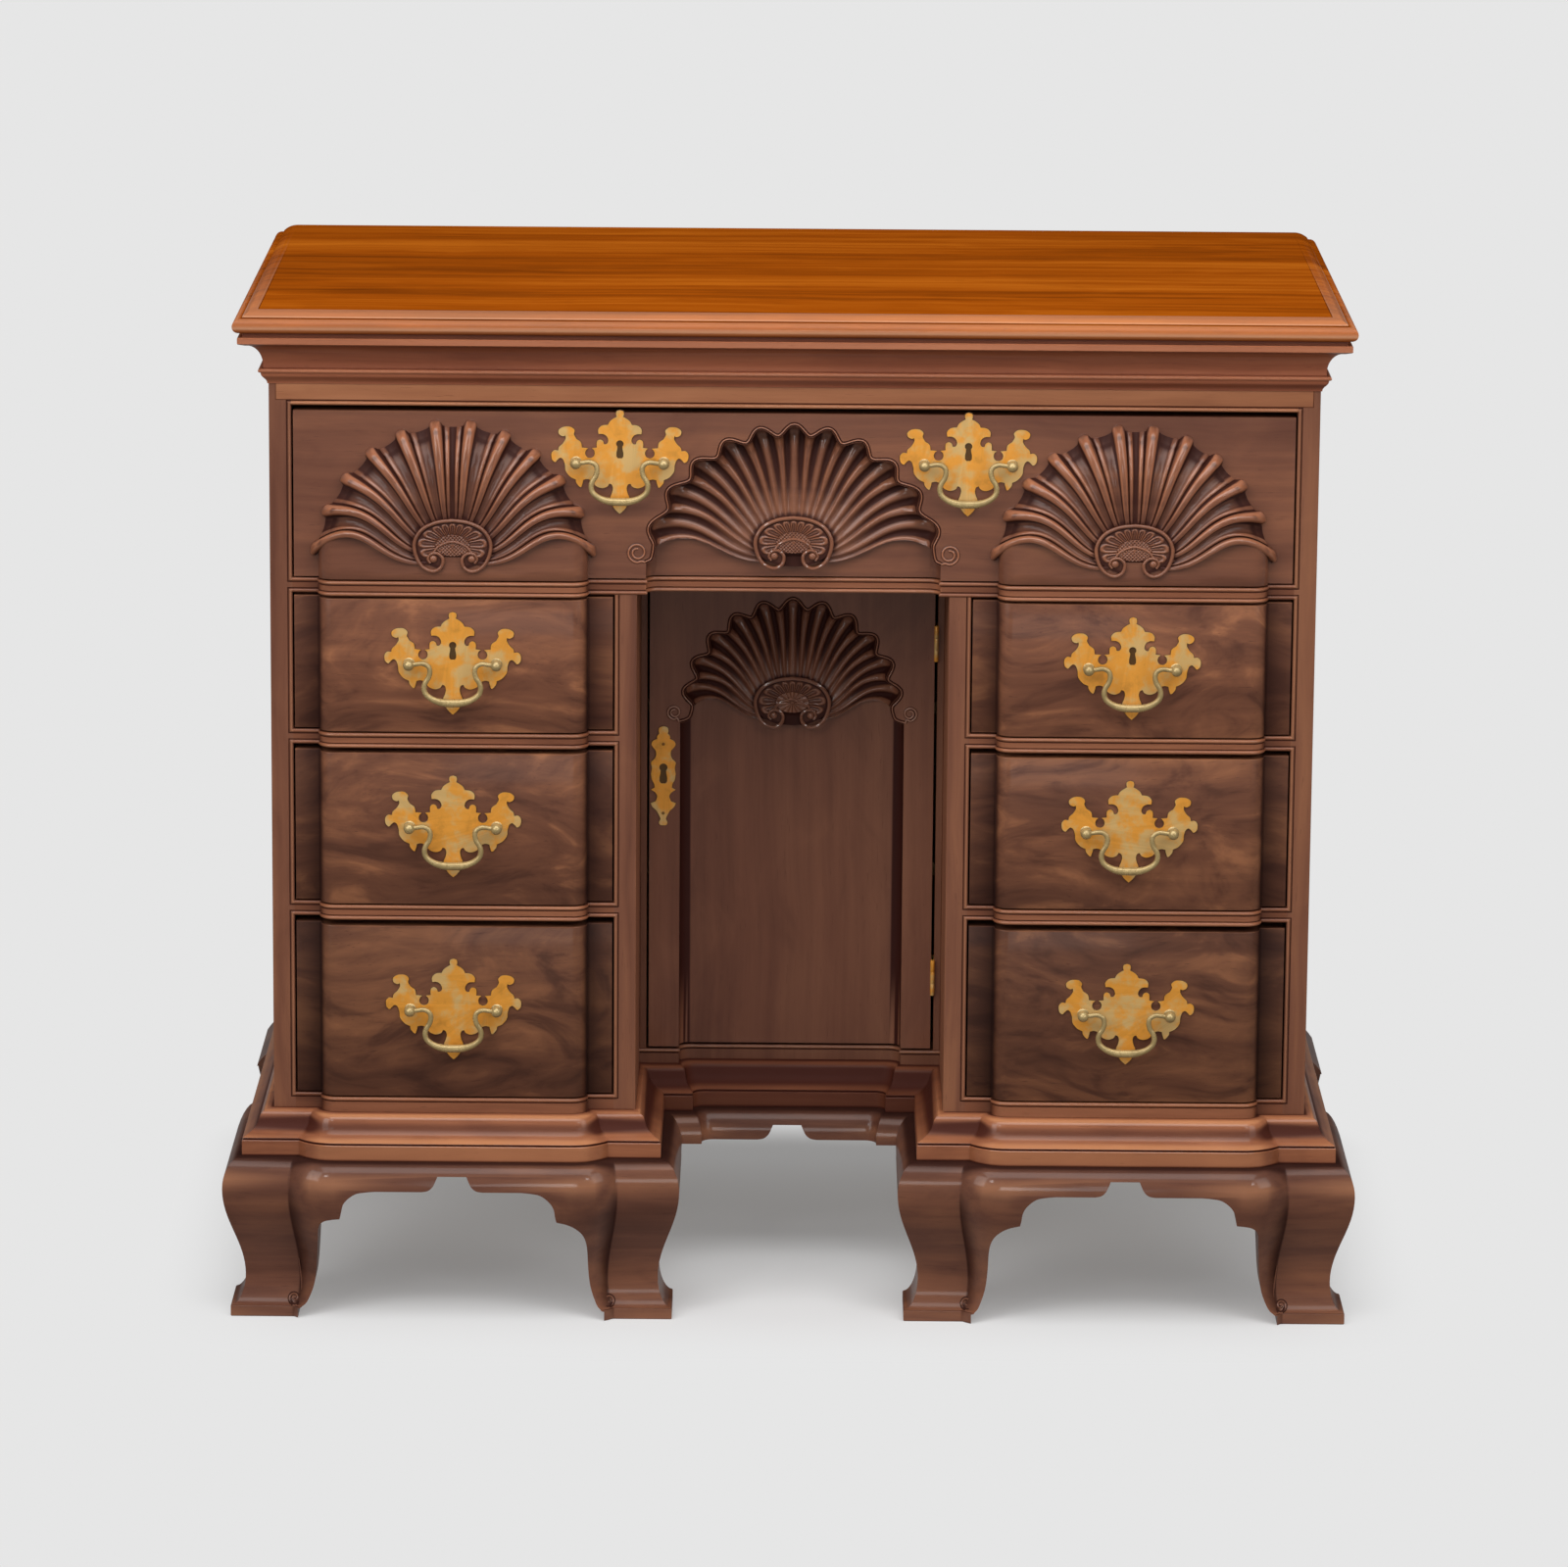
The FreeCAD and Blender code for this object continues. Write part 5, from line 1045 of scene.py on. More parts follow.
def heart(form, middle, level, face, ground, hatched=True):
    """The oval at the foot of a shell: a scroll border, a fan of small lobes, and a carved middle.

    The middle is cross-hatched, or reeded where hatched is False.
    """
    share, angle = np.meshgrid(np.linspace(0.04, 1, 60), np.linspace(-math.pi, math.pi, 289), indexing="ij")
    reach = oval_reach(angle, -0.8) * share
    x, z = reach * np.sin(angle), reach * np.cos(angle)
    lobe = np.degrees(angle) / 21.5
    lobe = np.abs(lobe - np.round(lobe)) / 0.44
    loop = (lobe ** 2.6 + np.abs((share - 0.66) / 0.235) ** 2.6) ** (1 / 2.6)
    loop = np.where(share < 0.62, lobe, loop)
    line = np.clip(1 - ((loop - 0.78) / 0.24) ** 2, 0, 1) ** 0.7
    tongue = np.clip(1 - (lobe / 0.28) ** 2, 0, 1) ** 0.5 * (share < 0.78)
    fan = (np.abs(angle) < math.radians(118)) & (share > 0.45) & (share < 0.92)
    hatch = np.maximum(np.abs(np.sin((x + z) * 1.05)), np.abs(np.sin((x - z) * 1.05))) ** 4
    if not hatched:
        hatch = np.abs(np.cos(angle * 7.5)) ** 0.6
    rise = 0.15 + fan * (0.95 * line + 0.25 * tongue) + np.where((share < 0.44) & (z > -12), 0.8 * hatch, 0)
    gap = np.clip((8.6 - np.abs(x)) / 2, 0, 1) * np.clip((-9 - z) / 3, 0, 1)
    rise = rise - gap * 3
    # Low parts are painted dark for the shade in them, the rim under the scroll border darkest, and raised
    # lines rubbed pale.
    in_middle, in_fan = np.clip(rise * 1.4 - 0.75, -0.8, 0.4), np.clip(rise * 1.3 - 0.85, -0.85, 0.45)
    marks = np.where(share > 0.9, -0.85, np.where(share < 0.44, in_middle, in_fan))
    rows = rows_of(middle + x, face - rise, level + z)
    rows.append([(px, face + ground, pz) for px, _, pz in rows[-1]])
    numbers = form.grid(rows, relief=[list(row) for row in marks] + [-0.6])
    form.faces.append(numbers[0][:-1])
    right = [tuple(point) for point in flowing(SCROLL_RIGHT, 5)]
    whole = [(-x, z, thick) for x, z, thick in reversed(right[1:])] + right
    for line, lift in ((whole, 0.8), (flowing(INNER_SCROLL, 8), 0.7)):
        rod(form, [(middle + x, face - lift, level + z) for x, z, _ in line], [thick for _, _, thick in line])
    for way in (-1, 1):
        boss(form, middle + way * BUTTON[0], face, level + BUTTON[1], BUTTON_ROUND, BUTTON_RISE)


def raised_shell(form, middle):
    """A raised shell and the piece of the block under it, carved in one."""
    edge = RIB_TURN * ((RIBS - 1) / 2 + RIB_HALF)
    tips = np.linspace(-edge, edge, RIBS * 22 + 1)
    shares = np.concatenate([np.linspace(0, 0.9, 34), np.linspace(0.915, 1, 12)])
    share, tip = np.meshgrid(shares, tips, indexing="ij")
    x, z = fan_place(tip, share, raised_reach, RIB_LEAN, RIB_SWAY)
    rise = raised_height(share, tip)
    # Crowns are rubbed pale; hollows, the shell's edge and the foot of its sides are painted dark, for dirt
    # and painted shade.
    marks = np.clip(worked(rise) * 1.9 - raised_shade(share, tip) - oval_shade_and_dirt(share), -1, 0.8)
    skirt = front + 0.5
    rows = rows_of(middle + x, front - rise, shell_height + z)
    rows.append([(px, skirt, pz) for px, _, pz in rows[-1]])
    form.grid(rows, relief=[list(row) for row in marks] + [-0.4])
    for column, away in ((0, 1), (-1, -1)):
        side = [row[column] for row in rows]
        form.grid([side, [(px, skirt, pz) for px, _, pz in side]][::away], relief=[-0.3, -0.3])
    # The block goes up to the line where the lowest rib is seated on it.
    lowest = np.full(40, RIB_TURN * (RIBS - 1) / 2)
    seat_x, seat_z = fan_place(lowest, np.linspace(0, 1, 40), raised_reach, RIB_LEAN, RIB_SWAY)
    outline = raised_edge(middle - BLOCK_WIDE / 2, middle + BLOCK_WIDE / 2, front)
    (flat_left, deep), (flat_right, _) = outline[ARC_STEPS + 1:ARC_STEPS + 3]
    flat = [(flat_left + (flat_right - flat_left) * t, deep) for t in np.linspace(0, 1, 9)[1:-1]]
    outline = outline[:ARC_STEPS + 2] + flat + outline[ARC_STEPS + 2:]
    top = [np.interp(abs(px - middle), [0, 24, *seat_x[4:]], [-2, -2, *seat_z[4:]]) for px, _ in outline]
    foot = long_low[2]
    rows = [[(px, y + 0.6, foot) for px, y in outline], [(px, y, foot + 0.6) for px, y in outline]]
    rows += [[(px, y, foot + 0.6 + (shell_height + up - foot - 0.6) * part)
              for (px, y), up in zip(outline, top)] for part in (0.25, 0.5, 0.75, 1)]
    # The top of the block is painted dark where the lowest rib sits on it, as painted shade.
    form.grid(rows, relief=[0.2, 0.2, 0, 0, 0, -0.3])
    form.grid([rows[-1], [(px, skirt, pz) for px, _, pz in rows[-1]]])
    form.face(rows[0] + [(rows[0][-1][0], skirt, foot), (rows[0][0][0], skirt, foot)])
    heart(form, middle, shell_height, front - BLOCK_RISE - 0.9, 3)


shells = Form()
for way in (-1, 1):
    raised_shell(shells, way * bay_middle)
carved_wood = wood("mahogany_carved", (tone(80, 44, 32), tone(110, 68, 50), tone(144, 92, 64)), figure=0.4,
                   gloss=0.45, worn=tone(176, 112, 78), rough=0.32, shade=0.5)
placed(shells.object("carved_shells", 50), carved_wood, "long_drawer", "mahogany", "long_drawer_shells")

FLUTE_TURN, FLUTE_LEAN, FLUTE_SWAY = math.radians(16.7), 30, 5


def flute_place(tip):
    """Which part of its flute a tip angle falls in, 0 to 1."""
    place = tip / FLUTE_TURN + 0.5
    return place - np.floor(place)


def hollow_reach(radius, spread):
    """The scalloped outline of a hollow shell, that spreads towards its sides."""

    def reach(tip):
        turn = np.abs(tip) / (math.pi / 2)
        return radius + (spread - radius) * turn ** 2 - 9 * np.cos(math.pi * flute_place(tip)) ** 2

    return reach


def flute_near(place):
    """How far a place lies from the nearest crest of the fluting."""
    return np.abs(place * 2 - np.round(place * 2)) / 2


def hollow_height(share, tip):
    """Minus the depth of a hollow shell: a rounded ridge under each peak and each dip of its outline."""
    place = flute_place(tip)
    near = flute_near(place)
    floor = 10.6 + 2.6 * np.sin(np.clip(share / 0.6, 0, 1) * math.pi / 2)
    dip = np.abs(place - 0.5) > 0.25
    steep = np.where(dip, 0.8 + 0.5 * near, 0.86 + 0.2 * near)
    wall = np.sqrt(np.clip(1 - np.clip((share - steep) / (1 - steep), 0, 1) ** 2.2, 0, 1))
    wide = np.where(dip, 0.085 + 0.06 * share ** 2, 0.09)
    ridge = np.sqrt(np.clip(1 - (near / wide) ** 2, 0, 1))
    scoop = np.sin(np.clip((near - wide) / (0.25 - wide), 0, 1) * math.pi / 2)
    fade = np.clip((share - np.where(dip, 0.9, 0.74)) / np.where(dip, 0.1, 0.2), 0, 1)
    size = 3.6 * share ** 0.6
    keep = 1 - fade ** 2 * (3 - 2 * fade)
    lift = np.where(dip, 0.6, 0.42) * ridge * keep
    return -np.clip(floor * wall + size * (0.62 * scoop * np.clip((1 - share) / 0.06, 0, 1) - lift), 0, 15.4)


# Sections of the bead round a shell and of the little scrolls beside it, as (across, height, mark): painted
# shade in the grooves either side, and a rubbed pale crown.
BORDER = ((0, 0, 0.1), (0.3, -0.4, -1), (0.8, -0.5, -1), (1.1, 0, -0.4), (1.4, 0.45, 0.5), (1.75, 0.6, 0.85),
          (2.1, 0.45, 0.5), (2.4, 0, -0.4), (2.6, -0.5, -1), (3.1, -0.5, -1), (3.5, 0, 0))
RIBBON = ((-1.9, 0, -0.6), (-1.4, -0.1, -1), (-1.0, 0.1, -1), (-0.6, 0.5, 0.6), (0, 0.65, 0.9),
          (0.6, 0.5, 0.6), (1.0, 0.1, -1), (1.4, -0.1, -1), (1.9, 0, -0.6))


def strip(form, path, face, profile):
    """A narrow moulded strip that follows a path over a flat."""
    points = np.array(path, float)
    way = np.gradient(points, axis=0)
    way /= np.linalg.norm(way, axis=1)[:, None]
    across = np.column_stack([-way[:, 1], way[:, 0]])
    rings = [points + across * out for out, _, _ in profile]
    form.grid([[(px, face - rise, pz) for px, pz in ring] for ring, (_, rise, _) in zip(rings, profile)],
              relief=[mark for _, _, mark in profile])
    return [tuple(point) for point in rings[-1]]


def hollow_carving(form, level, face, low, high, reach, half, curl, corner, fade=0.0):
    """A flat front with a hollow block at its foot, a hollow shell over the block and a border round it.

    low and high are the front's corners, level the height of the shell's heart, half the half width of
    the block and curl the size of the small scrolls. corner is painted shade in the hollow's round
    corners, and fade painted shade over the block that deepens towards its foot.
    """
    left, right, foot_up, head_up = low[0], high[0], low[2], high[2]
    end = FLUTE_TURN * FLUTES / 2
    tips = np.linspace(-end, end, FLUTES * 24 + 1)
    shares = np.concatenate([np.linspace(0, 0.82, 30), np.linspace(0.836, 1, 18)])
    share, tip = np.meshgrid(shares, tips, indexing="ij")
    x, z = fan_place(tip, share, reach, FLUTE_LEAN, FLUTE_SWAY)
    z = z + level
    rise = hollow_height(share, tip)
    near = flute_near(flute_place(tip))
    # The scoops of the flutes are painted dark, more so further out, and the shell darkest where it runs
    # under the oval, as painted shade with some dirt.
    marks = worked(rise) * 1.3 - 0.85 * np.clip((near - 0.1) / 0.1, 0, 1) * np.clip(share * 1.6, 0, 1)
    marks = np.clip(marks - oval_shade_and_dirt(share), -1, 0.7)
    marks[-1] = 0.1
    rows = rows_of(x, face - rise, z)
    form.grid(rows, relief=[list(row) for row in marks])
    # The shell's side walls darken down into the recess, as painted shade.
    for column, away in ((0, -1), (-1, 1)):
        edge = [row[column] for row in rows]
        form.grid([edge, [(px, face + BLOCK_RISE + 0.5, pz) for px, _, pz in edge]][::away],
                  relief=[0.3, -0.8])
    # The hollow block under the shell.
    foot = hollow_edge(-half, half, face)
    heights = np.linspace(0, 1, 5)
    rows = [[(px, py, foot_up + (level + 6 - foot_up) * t) for px, py in foot] for t in heights]
    # corner and fade paint shade on the block.
    column_marks = [0.1] + [corner] * ARC_STEPS + [0.0]
    column_marks += column_marks[::-1]
    form.grid(rows, relief=[[mark - fade * (1 - t) for mark in column_marks] for t in heights])
    # The shell's outline runs down into the block's edges, and a bead follows it.
    valley, shoulder = x[-1, 0], level - 17.5
    side = flowing([(-half, shoulder), (valley * 0.7 - half * 0.3, level - 14.2),
                    (valley * 0.96 - half * 0.04, level - 7), (valley, z[-1, 0])], 4)[:-1]
    side = [tuple(point) for point in side]
    scallops = side + list(zip(x[-1], z[-1])) + [(-px, pz) for px, pz in reversed(side)]
    corner_x, corner_y = zip(*foot[1:ARC_STEPS + 2])
    # These walls darken towards the block, as painted shade.
    for edge in (side, [(-px, pz) for px, pz in side]):
        depths = [np.interp(-abs(px), corner_x, corner_y) for px, _ in edge]
        form.grid([[(px, face, pz) for px, pz in edge],
                   [(px, deep, pz) for (px, pz), deep in zip(edge, depths)]], relief=[0.2, -0.4])
    outer = strip(form, scallops, face, BORDER)
    for way in (-1, 1):
        spiral = []
        for t in np.linspace(0, 1, 40):
            size = (curl + 1.2) * (1 - 0.62 * t)
            spiral.append((-(half + curl) - size * math.sin(9.6 * t), level - 8 - size * math.cos(9.6 * t)))
        lead = flowing([(-half - 1.1, level - 16.2), (-half - curl / 2, level - 8.2 - curl), spiral[0]], 4)
        line = [tuple(point) for point in lead[:-1]] + spiral
        strip(form, [(-way * px, pz) for px, pz in line], face - 0.02, RIBBON)
    # The flat round the carving, and the plain faces of the board behind it.
    flat = [(left, foot_up), (-half, foot_up), (-half, shoulder)] + outer \
        + [(half, shoulder), (half, foot_up), (right, foot_up), (right, head_up), (left, head_up)]
    form.face([(px, face, pz) for px, pz in flat])
    behind = face + FRONT_THICK
    form.face([(px, py, foot_up) for px, py in [(left, face)] + foot + [(right, face)]]
              + [(right, behind, foot_up), (left, behind, foot_up)])
    form.face([(left, face, head_up), (right, face, head_up), (right, behind, head_up),
               (left, behind, head_up)])
    for px in (left, right):
        form.face([(px, face, foot_up), (px, face, head_up), (px, behind, head_up), (px, behind, foot_up)])
    form.face([(left, behind, foot_up), (left, behind, head_up), (right, behind, head_up),
               (right, behind, foot_up)])


HEART_DEEP, HEART_GROUND = 7.5, 9
form = Form()
hollow_carving(form, shell_height, front, long_low, long_high, hollow_reach(99.5, 123), HOLLOW_WIDE / 2,
               7.2, -0.35)
heart(form, 0, shell_height, front + HEART_DEEP, HEART_GROUND)
placed(form.object("long_front", 35), carved_wood, "long_drawer", "mahogany", "long_drawer_front")
softened("long_drawer_box", poplar)

# ---------------------------------------------------------------- small drawers
# Each front is cut from one thick board of figured mahogany, so that the block stands forward of
# its ends. The lower a drawer is, the darker its front is painted, for the shade it stands in. The boxes
# behind are poplar.
FIGURED_TONES = (tone(64, 37, 29), tone(110, 69, 50), tone(164, 108, 74))
# Each level is a copy of one wood deepened by a share, as painted shade lower down.
shaded_figured_wood = {level: wood(f"mahogany_figured_shaded_{level}", deepened(FIGURED_TONES, share), figure=1.0,
                            gloss=0.06, flame=0.6, shine=0.17)
                for level, share in zip(LEVELS[::-1], (1.04, 0.9, 0.69))}
for side, block in (("left", LEFT_BLOCK), ("right", RIGHT_BLOCK)):
    for level in LEVELS:
        name = f"drawer_{side}_{level}"
        low, high = span(f"{name}_front")
        profile = [(out, low[2] + up) for out, up in ((-1, 0), (-0.3, 0.3), (0, 1))]
        profile += [(out, high[2] - down) for out, down in ((0, 1), (-0.3, 0.3), (-1, 0))]

        def line(out):
            return front_line(low[0], high[0], front, [block], out)

        rows = swept(line, profile) + [[(x, high[1], up) for x, _ in line(0)] for up in (high[2], low[2])]
        form = Form()
        # The creases beside the block are painted dark, for dirt and painted shade, and its arrises rubbed
        # pale.
        form.grid(rows, relief=creased([0, 0.3, 0, 0, 0.4, 0], line(0), 0.8) + [0, 0], around=True,
                  sides=(True, True))
        placed(form.object(f"{name}_blocked_front"), shaded_figured_wood[level], name, "mahogany", f"{name}_front")
        softened(f"{name}_box", poplar)

# ---------------------------------------------------------------- cupboard door
# One mahogany board with a hollow block and a hollow shell like the long drawer's, hung on two
# brass hinges. Painted shade lies in the round corners of its hollow and deepens towards its foot.
DOOR_SHELL_DROP = 117.5
door_low, door_high = span("door_panel")
door_shell = door_high[2] - DOOR_SHELL_DROP
form = Form()
hollow_carving(form, door_shell, door_face, door_low, door_high, hollow_reach(90.5, 93), DOOR_HOLLOW_WIDE / 2,
               5, -0.8, 0.3)
heart(form, 0, door_shell, door_face + HEART_DEEP, HEART_GROUND, hatched=False)
carved_dark = wood("mahogany_carved_dark", deepened(DARK_TONES, 0.9), grain="z", figure=0.5, gloss=0.3,
                   worn=tone(168, 124, 102), rough=0.34, shade=0.55)
placed(form.object("shell_door", 35), carved_dark, "cupboard_door", "mahogany_dark", "door_panel")

# ---------------------------------------------------------------- hinges and locks
# Butt hinges of cast brass let into the door's edge and its frame, and iron locks let in behind
# the long drawer's front and the edge of the door.


def brass(name, base, worn_tone, rough=0.32, patches=0.5):
    """Brass with thin old lacquer: gold, with greyer patches where the lacquer has gone."""
    made, shader, wire = surface(name)
    place = wire.node("TexCoord", out=3)
    cloud = wire.node("TexNoise", {}, {"Vector": place, "Scale": 55.0, "Detail": 5.0, "Roughness": 0.6})
    fine = wire.node("TexNoise", {}, {"Vector": place, "Scale": 700.0, "Detail": 3.0})
    colour = blend(wire, cloud.step(0.44, 0.62) * patches, base, worn_tone)
    colour = blend(wire, cloud.step(0.42, 0.28) * 0.4, colour, tuple(0.55 * c for c in base))
    # Corners marked hollow go near black: painted shadow at the plate's edge and in the keyhole, with old
    # polish packed there.
    hollow = wire.node("Attribute", {"attribute_name": "hollow"}, out=2)
    colour = blend(wire, hollow * 0.96, colour, tuple(0.08 * c for c in base))
    feed(shader, "Base Color", colour)
    shader.inputs["Metallic"].default_value = 0.35
    feed(shader, "Roughness", cloud * 0.2 + fine * 0.08 + (rough - 0.12))
    feed(shader, "Normal", wire.node("Bump", {}, {"Strength": 0.25, "Distance": 0.0004, "Height": cloud}))
    return made


plate_brass = brass("brass_plate", tone(230, 156, 56), tone(212, 178, 116), 0.38, 0.85)
iron, shader, wire = surface("lock_iron")
rust = wire.node("TexNoise", {}, {"Vector": wire.node("TexCoord", out=3), "Scale": 90.0, "Detail": 5.0})
feed(shader, "Base Color", blend(wire, rust.step(0.45, 0.7), tone(70, 66, 62), tone(104, 74, 54)))
shader.inputs["Roughness"].default_value = 0.6
shader.inputs["Metallic"].default_value = 0.6
METAL_ARRIS = 0.2
for node in ("hinge_case_leaves", "hinge_door_leaves"):
    softened(node, plate_brass, METAL_ARRIS)
for node in ("door_lock", "long_drawer_lock"):
    softened(node, iron, METAL_ARRIS)

# ---------------------------------------------------------------- pulls and key plate
# Cast and filed back plates of brass with two turned posts, and a swan-necked bail that
# swings in them. The key plate of the door is a smaller plate of the same kind, pinned on.
PLATE_THICK, POLISH_AND_SHADOW_RIM, KEYHOLE_UP = 1.4, 0.45, 15.4
KEY_ROUND, KEY_SLOT, KEY_DROP = 3.1, 2.1, 12.2
DOOR_KEYHOLE_UP, DOOR_KEYHOLE_SIZE, PIN_HEIGHTS, PIN_ROUND = 7.3, 1.15, (28, -32.7), 1.5
# Half of each plate's outline, from its finial down: every stretch is a smooth curve.
PLATE_HALF = (
    ((0, 43.6), (2.6, 42.6), (3.2, 40.4), (2.6, 38)),
    ((2.6, 38), (5.7, 36.3), (8.4, 34), (9.9, 31.2)),
    ((9.9, 31.2), (13, 31), (15.8, 30), (18, 27.2), (17.8, 23.6)),
    ((17.8, 23.6), (14.3, 23.6), (11.6, 22.4), (10, 20), (9.7, 17.3), (11.1, 15.2), (13.2, 15)),
    ((13.2, 15), (14.1, 17.6), (16.4, 18.9), (18.8, 17.6), (19.3, 14.8), (19.1, 12.1)),
    ((19.1, 12.1), (23.2, 11.6)),
    ((23.2, 11.6), (21.4, 9.9), (20.8, 7.3), (21.9, 4.5), (24.8, 3.3), (27.7, 4.5), (28.8, 7.3), (28, 9.9),
     (26.4, 11.5)),
    ((26.4, 11.5), (31.5, 12)),
    ((31.5, 12), (32.3, 16.4), (36.1, 19.3)),
    ((36.1, 19.3), (38.2, 23.2), (37.6, 26.6), (41.1, 29.4), (47, 29.2), (50.7, 26.6), (50.3, 23.2),
     (47.3, 21.5), (45.2, 22.2)),
    ((45.2, 22.2), (45, 19.4), (47.3, 15.4), (50.4, 12.4), (51.1, 9.4)),
    ((51.1, 9.4), (54.4, 9.6), (56.7, 6.8), (56.3, 2.1), (53.7, -0.2), (51.7, 1.7)),
    ((51.7, 1.7), (49.4, 3.4), (47, 1.9), (45.5, -2.6), (44.9, -7.7), (41.1, -12.5), (36.5, -14.8)),
    ((36.5, -14.8), (35.9, -17.8), (32.5, -21.3), (30.9, -17.9), (30.3, -15)),
    ((30.3, -15), (26.6, -14.4), (22.6, -16.3), (19.7, -20.2), (14.8, -21.9), (10.5, -20.6), (8.8, -18)),
    ((8.8, -18), (6.7, -18.9), (5.7, -22.2), (6.6, -26.5)),
    ((6.6, -26.5), (8, -30), (7.3, -33.5), (5.6, -37.4), (3.2, -40.6), (0, -43.4)),
)
KEY_PLATE_HALF = (
    ((0, 43.6), (3.2, 42.4), (4.2, 39.6), (3.6, 37.2)),
    ((3.6, 37.2), (5.6, 34.6), (5.4, 32.4)),
    ((5.4, 32.4), (9, 30.6), (10.4, 27.6), (9, 25)),
    ((9, 25), (6.6, 22), (6.4, 17.6), (8, 14.4)),
    ((8, 14.4), (10.6, 11.6), (9.8, 7), (10.6, 1.6)),
    ((10.6, 1.6), (9.8, -3.4), (7.8, -7.2), (7.4, -10.4)),
    ((7.4, -10.4), (10.6, -12.2)),
    ((10.6, -12.2), (7, -14.6), (5.2, -18), (6.6, -22.4)),
    ((6.6, -22.4), (10.8, -24)),
    ((10.8, -24), (9.4, -27.2), (6, -30.4), (4, -33.8)),
    ((4, -33.8), (2.4, -37.6), (3.6, -41), (2.6, -43.2), (0, -43.5)),
)


def outline_of(half):
    """A whole outline, round from its top, from smooth stretches of its right half."""
    right = [(0.0, half[0][0][1])]
    for stretch in half:
        right += [tuple(point) for point in flowing(stretch, 4)[1:]]
    return right + [(-x, z) for x, z in reversed(right[1:-1])]


def spread(ring, distance):
    """The same ring moved outwards."""
    points = [Vector(point) for point in ring]
    moved = []
    for before, here, after in zip(points[-1:] + points[:-1], points, points[1:] + points[:1]):
        way = (after - before).normalized()
        moved.append(tuple(here + Vector((-way.y, way.x)) * distance))
    return moved


def key_ring(z, size):
    """The outline of a keyhole, a round over a slot."""
    drop = math.degrees(math.asin(KEY_SLOT / KEY_ROUND))
    ring = arc((0, z), KEY_ROUND * size, 270 - drop, 270 + drop - 360, 16)
    side = [(2.2, -4.4), (2.9, -7.4), (2.9, -10.6), (1.7, -KEY_DROP)]
    return ring + [(x * size, z + drop * size) for x, drop in side] \
        + [(-x * size, z + drop * size) for x, drop in reversed(side)]


def plate_form(form, half, x, face, z, hole=None, size=1.0):
    """A thin brass plate with a dark rim round its edge, for old polish packed there and painted shadow, and
    a keyhole where it has one.
    """

    def ring_at(ring, out):
        return [(x + across, face - out, z + up) for across, up in ring]

    outer = outline_of(half)
    # The rim and the plate's edge are painted dark, for old polish and for the shadow round the plate.
    edge = [ring_at(spread(outer, POLISH_AND_SHADOW_RIM), 0.05), ring_at(outer, 0.25), ring_at(outer, PLATE_THICK)]
    for under, over, marks in ((edge[0], edge[1], [-1, -1]), (edge[1], edge[2], [-1, -0.1])):
        form.grid([under, over], across=True, relief=marks)
    if hole is None:
        form.face(edge[-1])
        return
    ring = key_ring(hole, size)
    # The keyhole's walls are painted dark, as painted shade inside it.
    form.grid([ring_at(ring, 0.12), ring_at(ring, PLATE_THICK)], across=True, relief=[-1, 0],
              ends=(True, False))
    # The plate's face is two faces that meet above and below the keyhole.
    crown, sill = (0, hole + KEY_ROUND * size), (0, hole - KEY_DROP * size)
    ring_right = sorted([point for point in ring if point[0] > 0], key=lambda point: point[1])
    ring_left = sorted([point for point in ring if point[0] < 0], key=lambda point: -point[1])
    middle = len(outer) // 2
    form.face(ring_at(outer[:middle + 1] + [sill] + ring_right + [crown], PLATE_THICK))
    form.face(ring_at(outer[middle:] + [outer[0], crown] + ring_left + [sill], PLATE_THICK))


POST_APART, POST_REACH, POST_BALL = 72.8, 8.5, 4.7
POST_NECK = POST_REACH - POST_BALL * 0.86
# A post's turning from the plate out, as (out, radius).
POST_FOOT = [(0, 4.8), (0.5, 4.8), (0.9, 4.2), (1.4, 3.8), (1.7, 2.6), (POST_NECK - 0.5, 2.3),
             (POST_NECK - 0.2, 3.0), (POST_NECK + 0.3, 3.0), (POST_NECK + 0.5, 2.5)]
# Half of a bail from its pivot to its middle, as (across, up, thick), and the collars turned on it.
BAIL_HALF = [(36, 0, 1.8), (30, 0.9, 1.9), (24.5, 1.4, 2.0), (20, -0.8, 2.1), (18.6, -5.2, 2.2),
             (19.8, -10.4, 2.2), (22.4, -14.6, 2.2), (23.6, -19.2, 2.25), (22.2, -24.2, 2.3),
             (18, -28, 2.5), (12.4, -30.6, 2.9), (6.4, -31.8, 3.3), (0, -32, 3.4)]
COLLARS = ((4.6, 3.6), (-4.6, 3.6), (9.6, 3.3), (-9.6, 3.3))
bail_brass = brass("brass_bail", tone(178, 154, 104), tone(150, 128, 84), 0.26, 0.6)


def lathe(form, centre, profile, relief=0.2, sides=20):
    """A turned piece whose axis is along -Y, from (out, radius) points."""
    x, y, z = centre
    rings = [[(x + radius * math.cos(turn), y - out, z + radius * math.sin(turn)) for turn in circle(sides)]
             for out, radius in profile]
    form.grid(rings, across=True, ends=(True, True), relief=[relief] * len(rings))


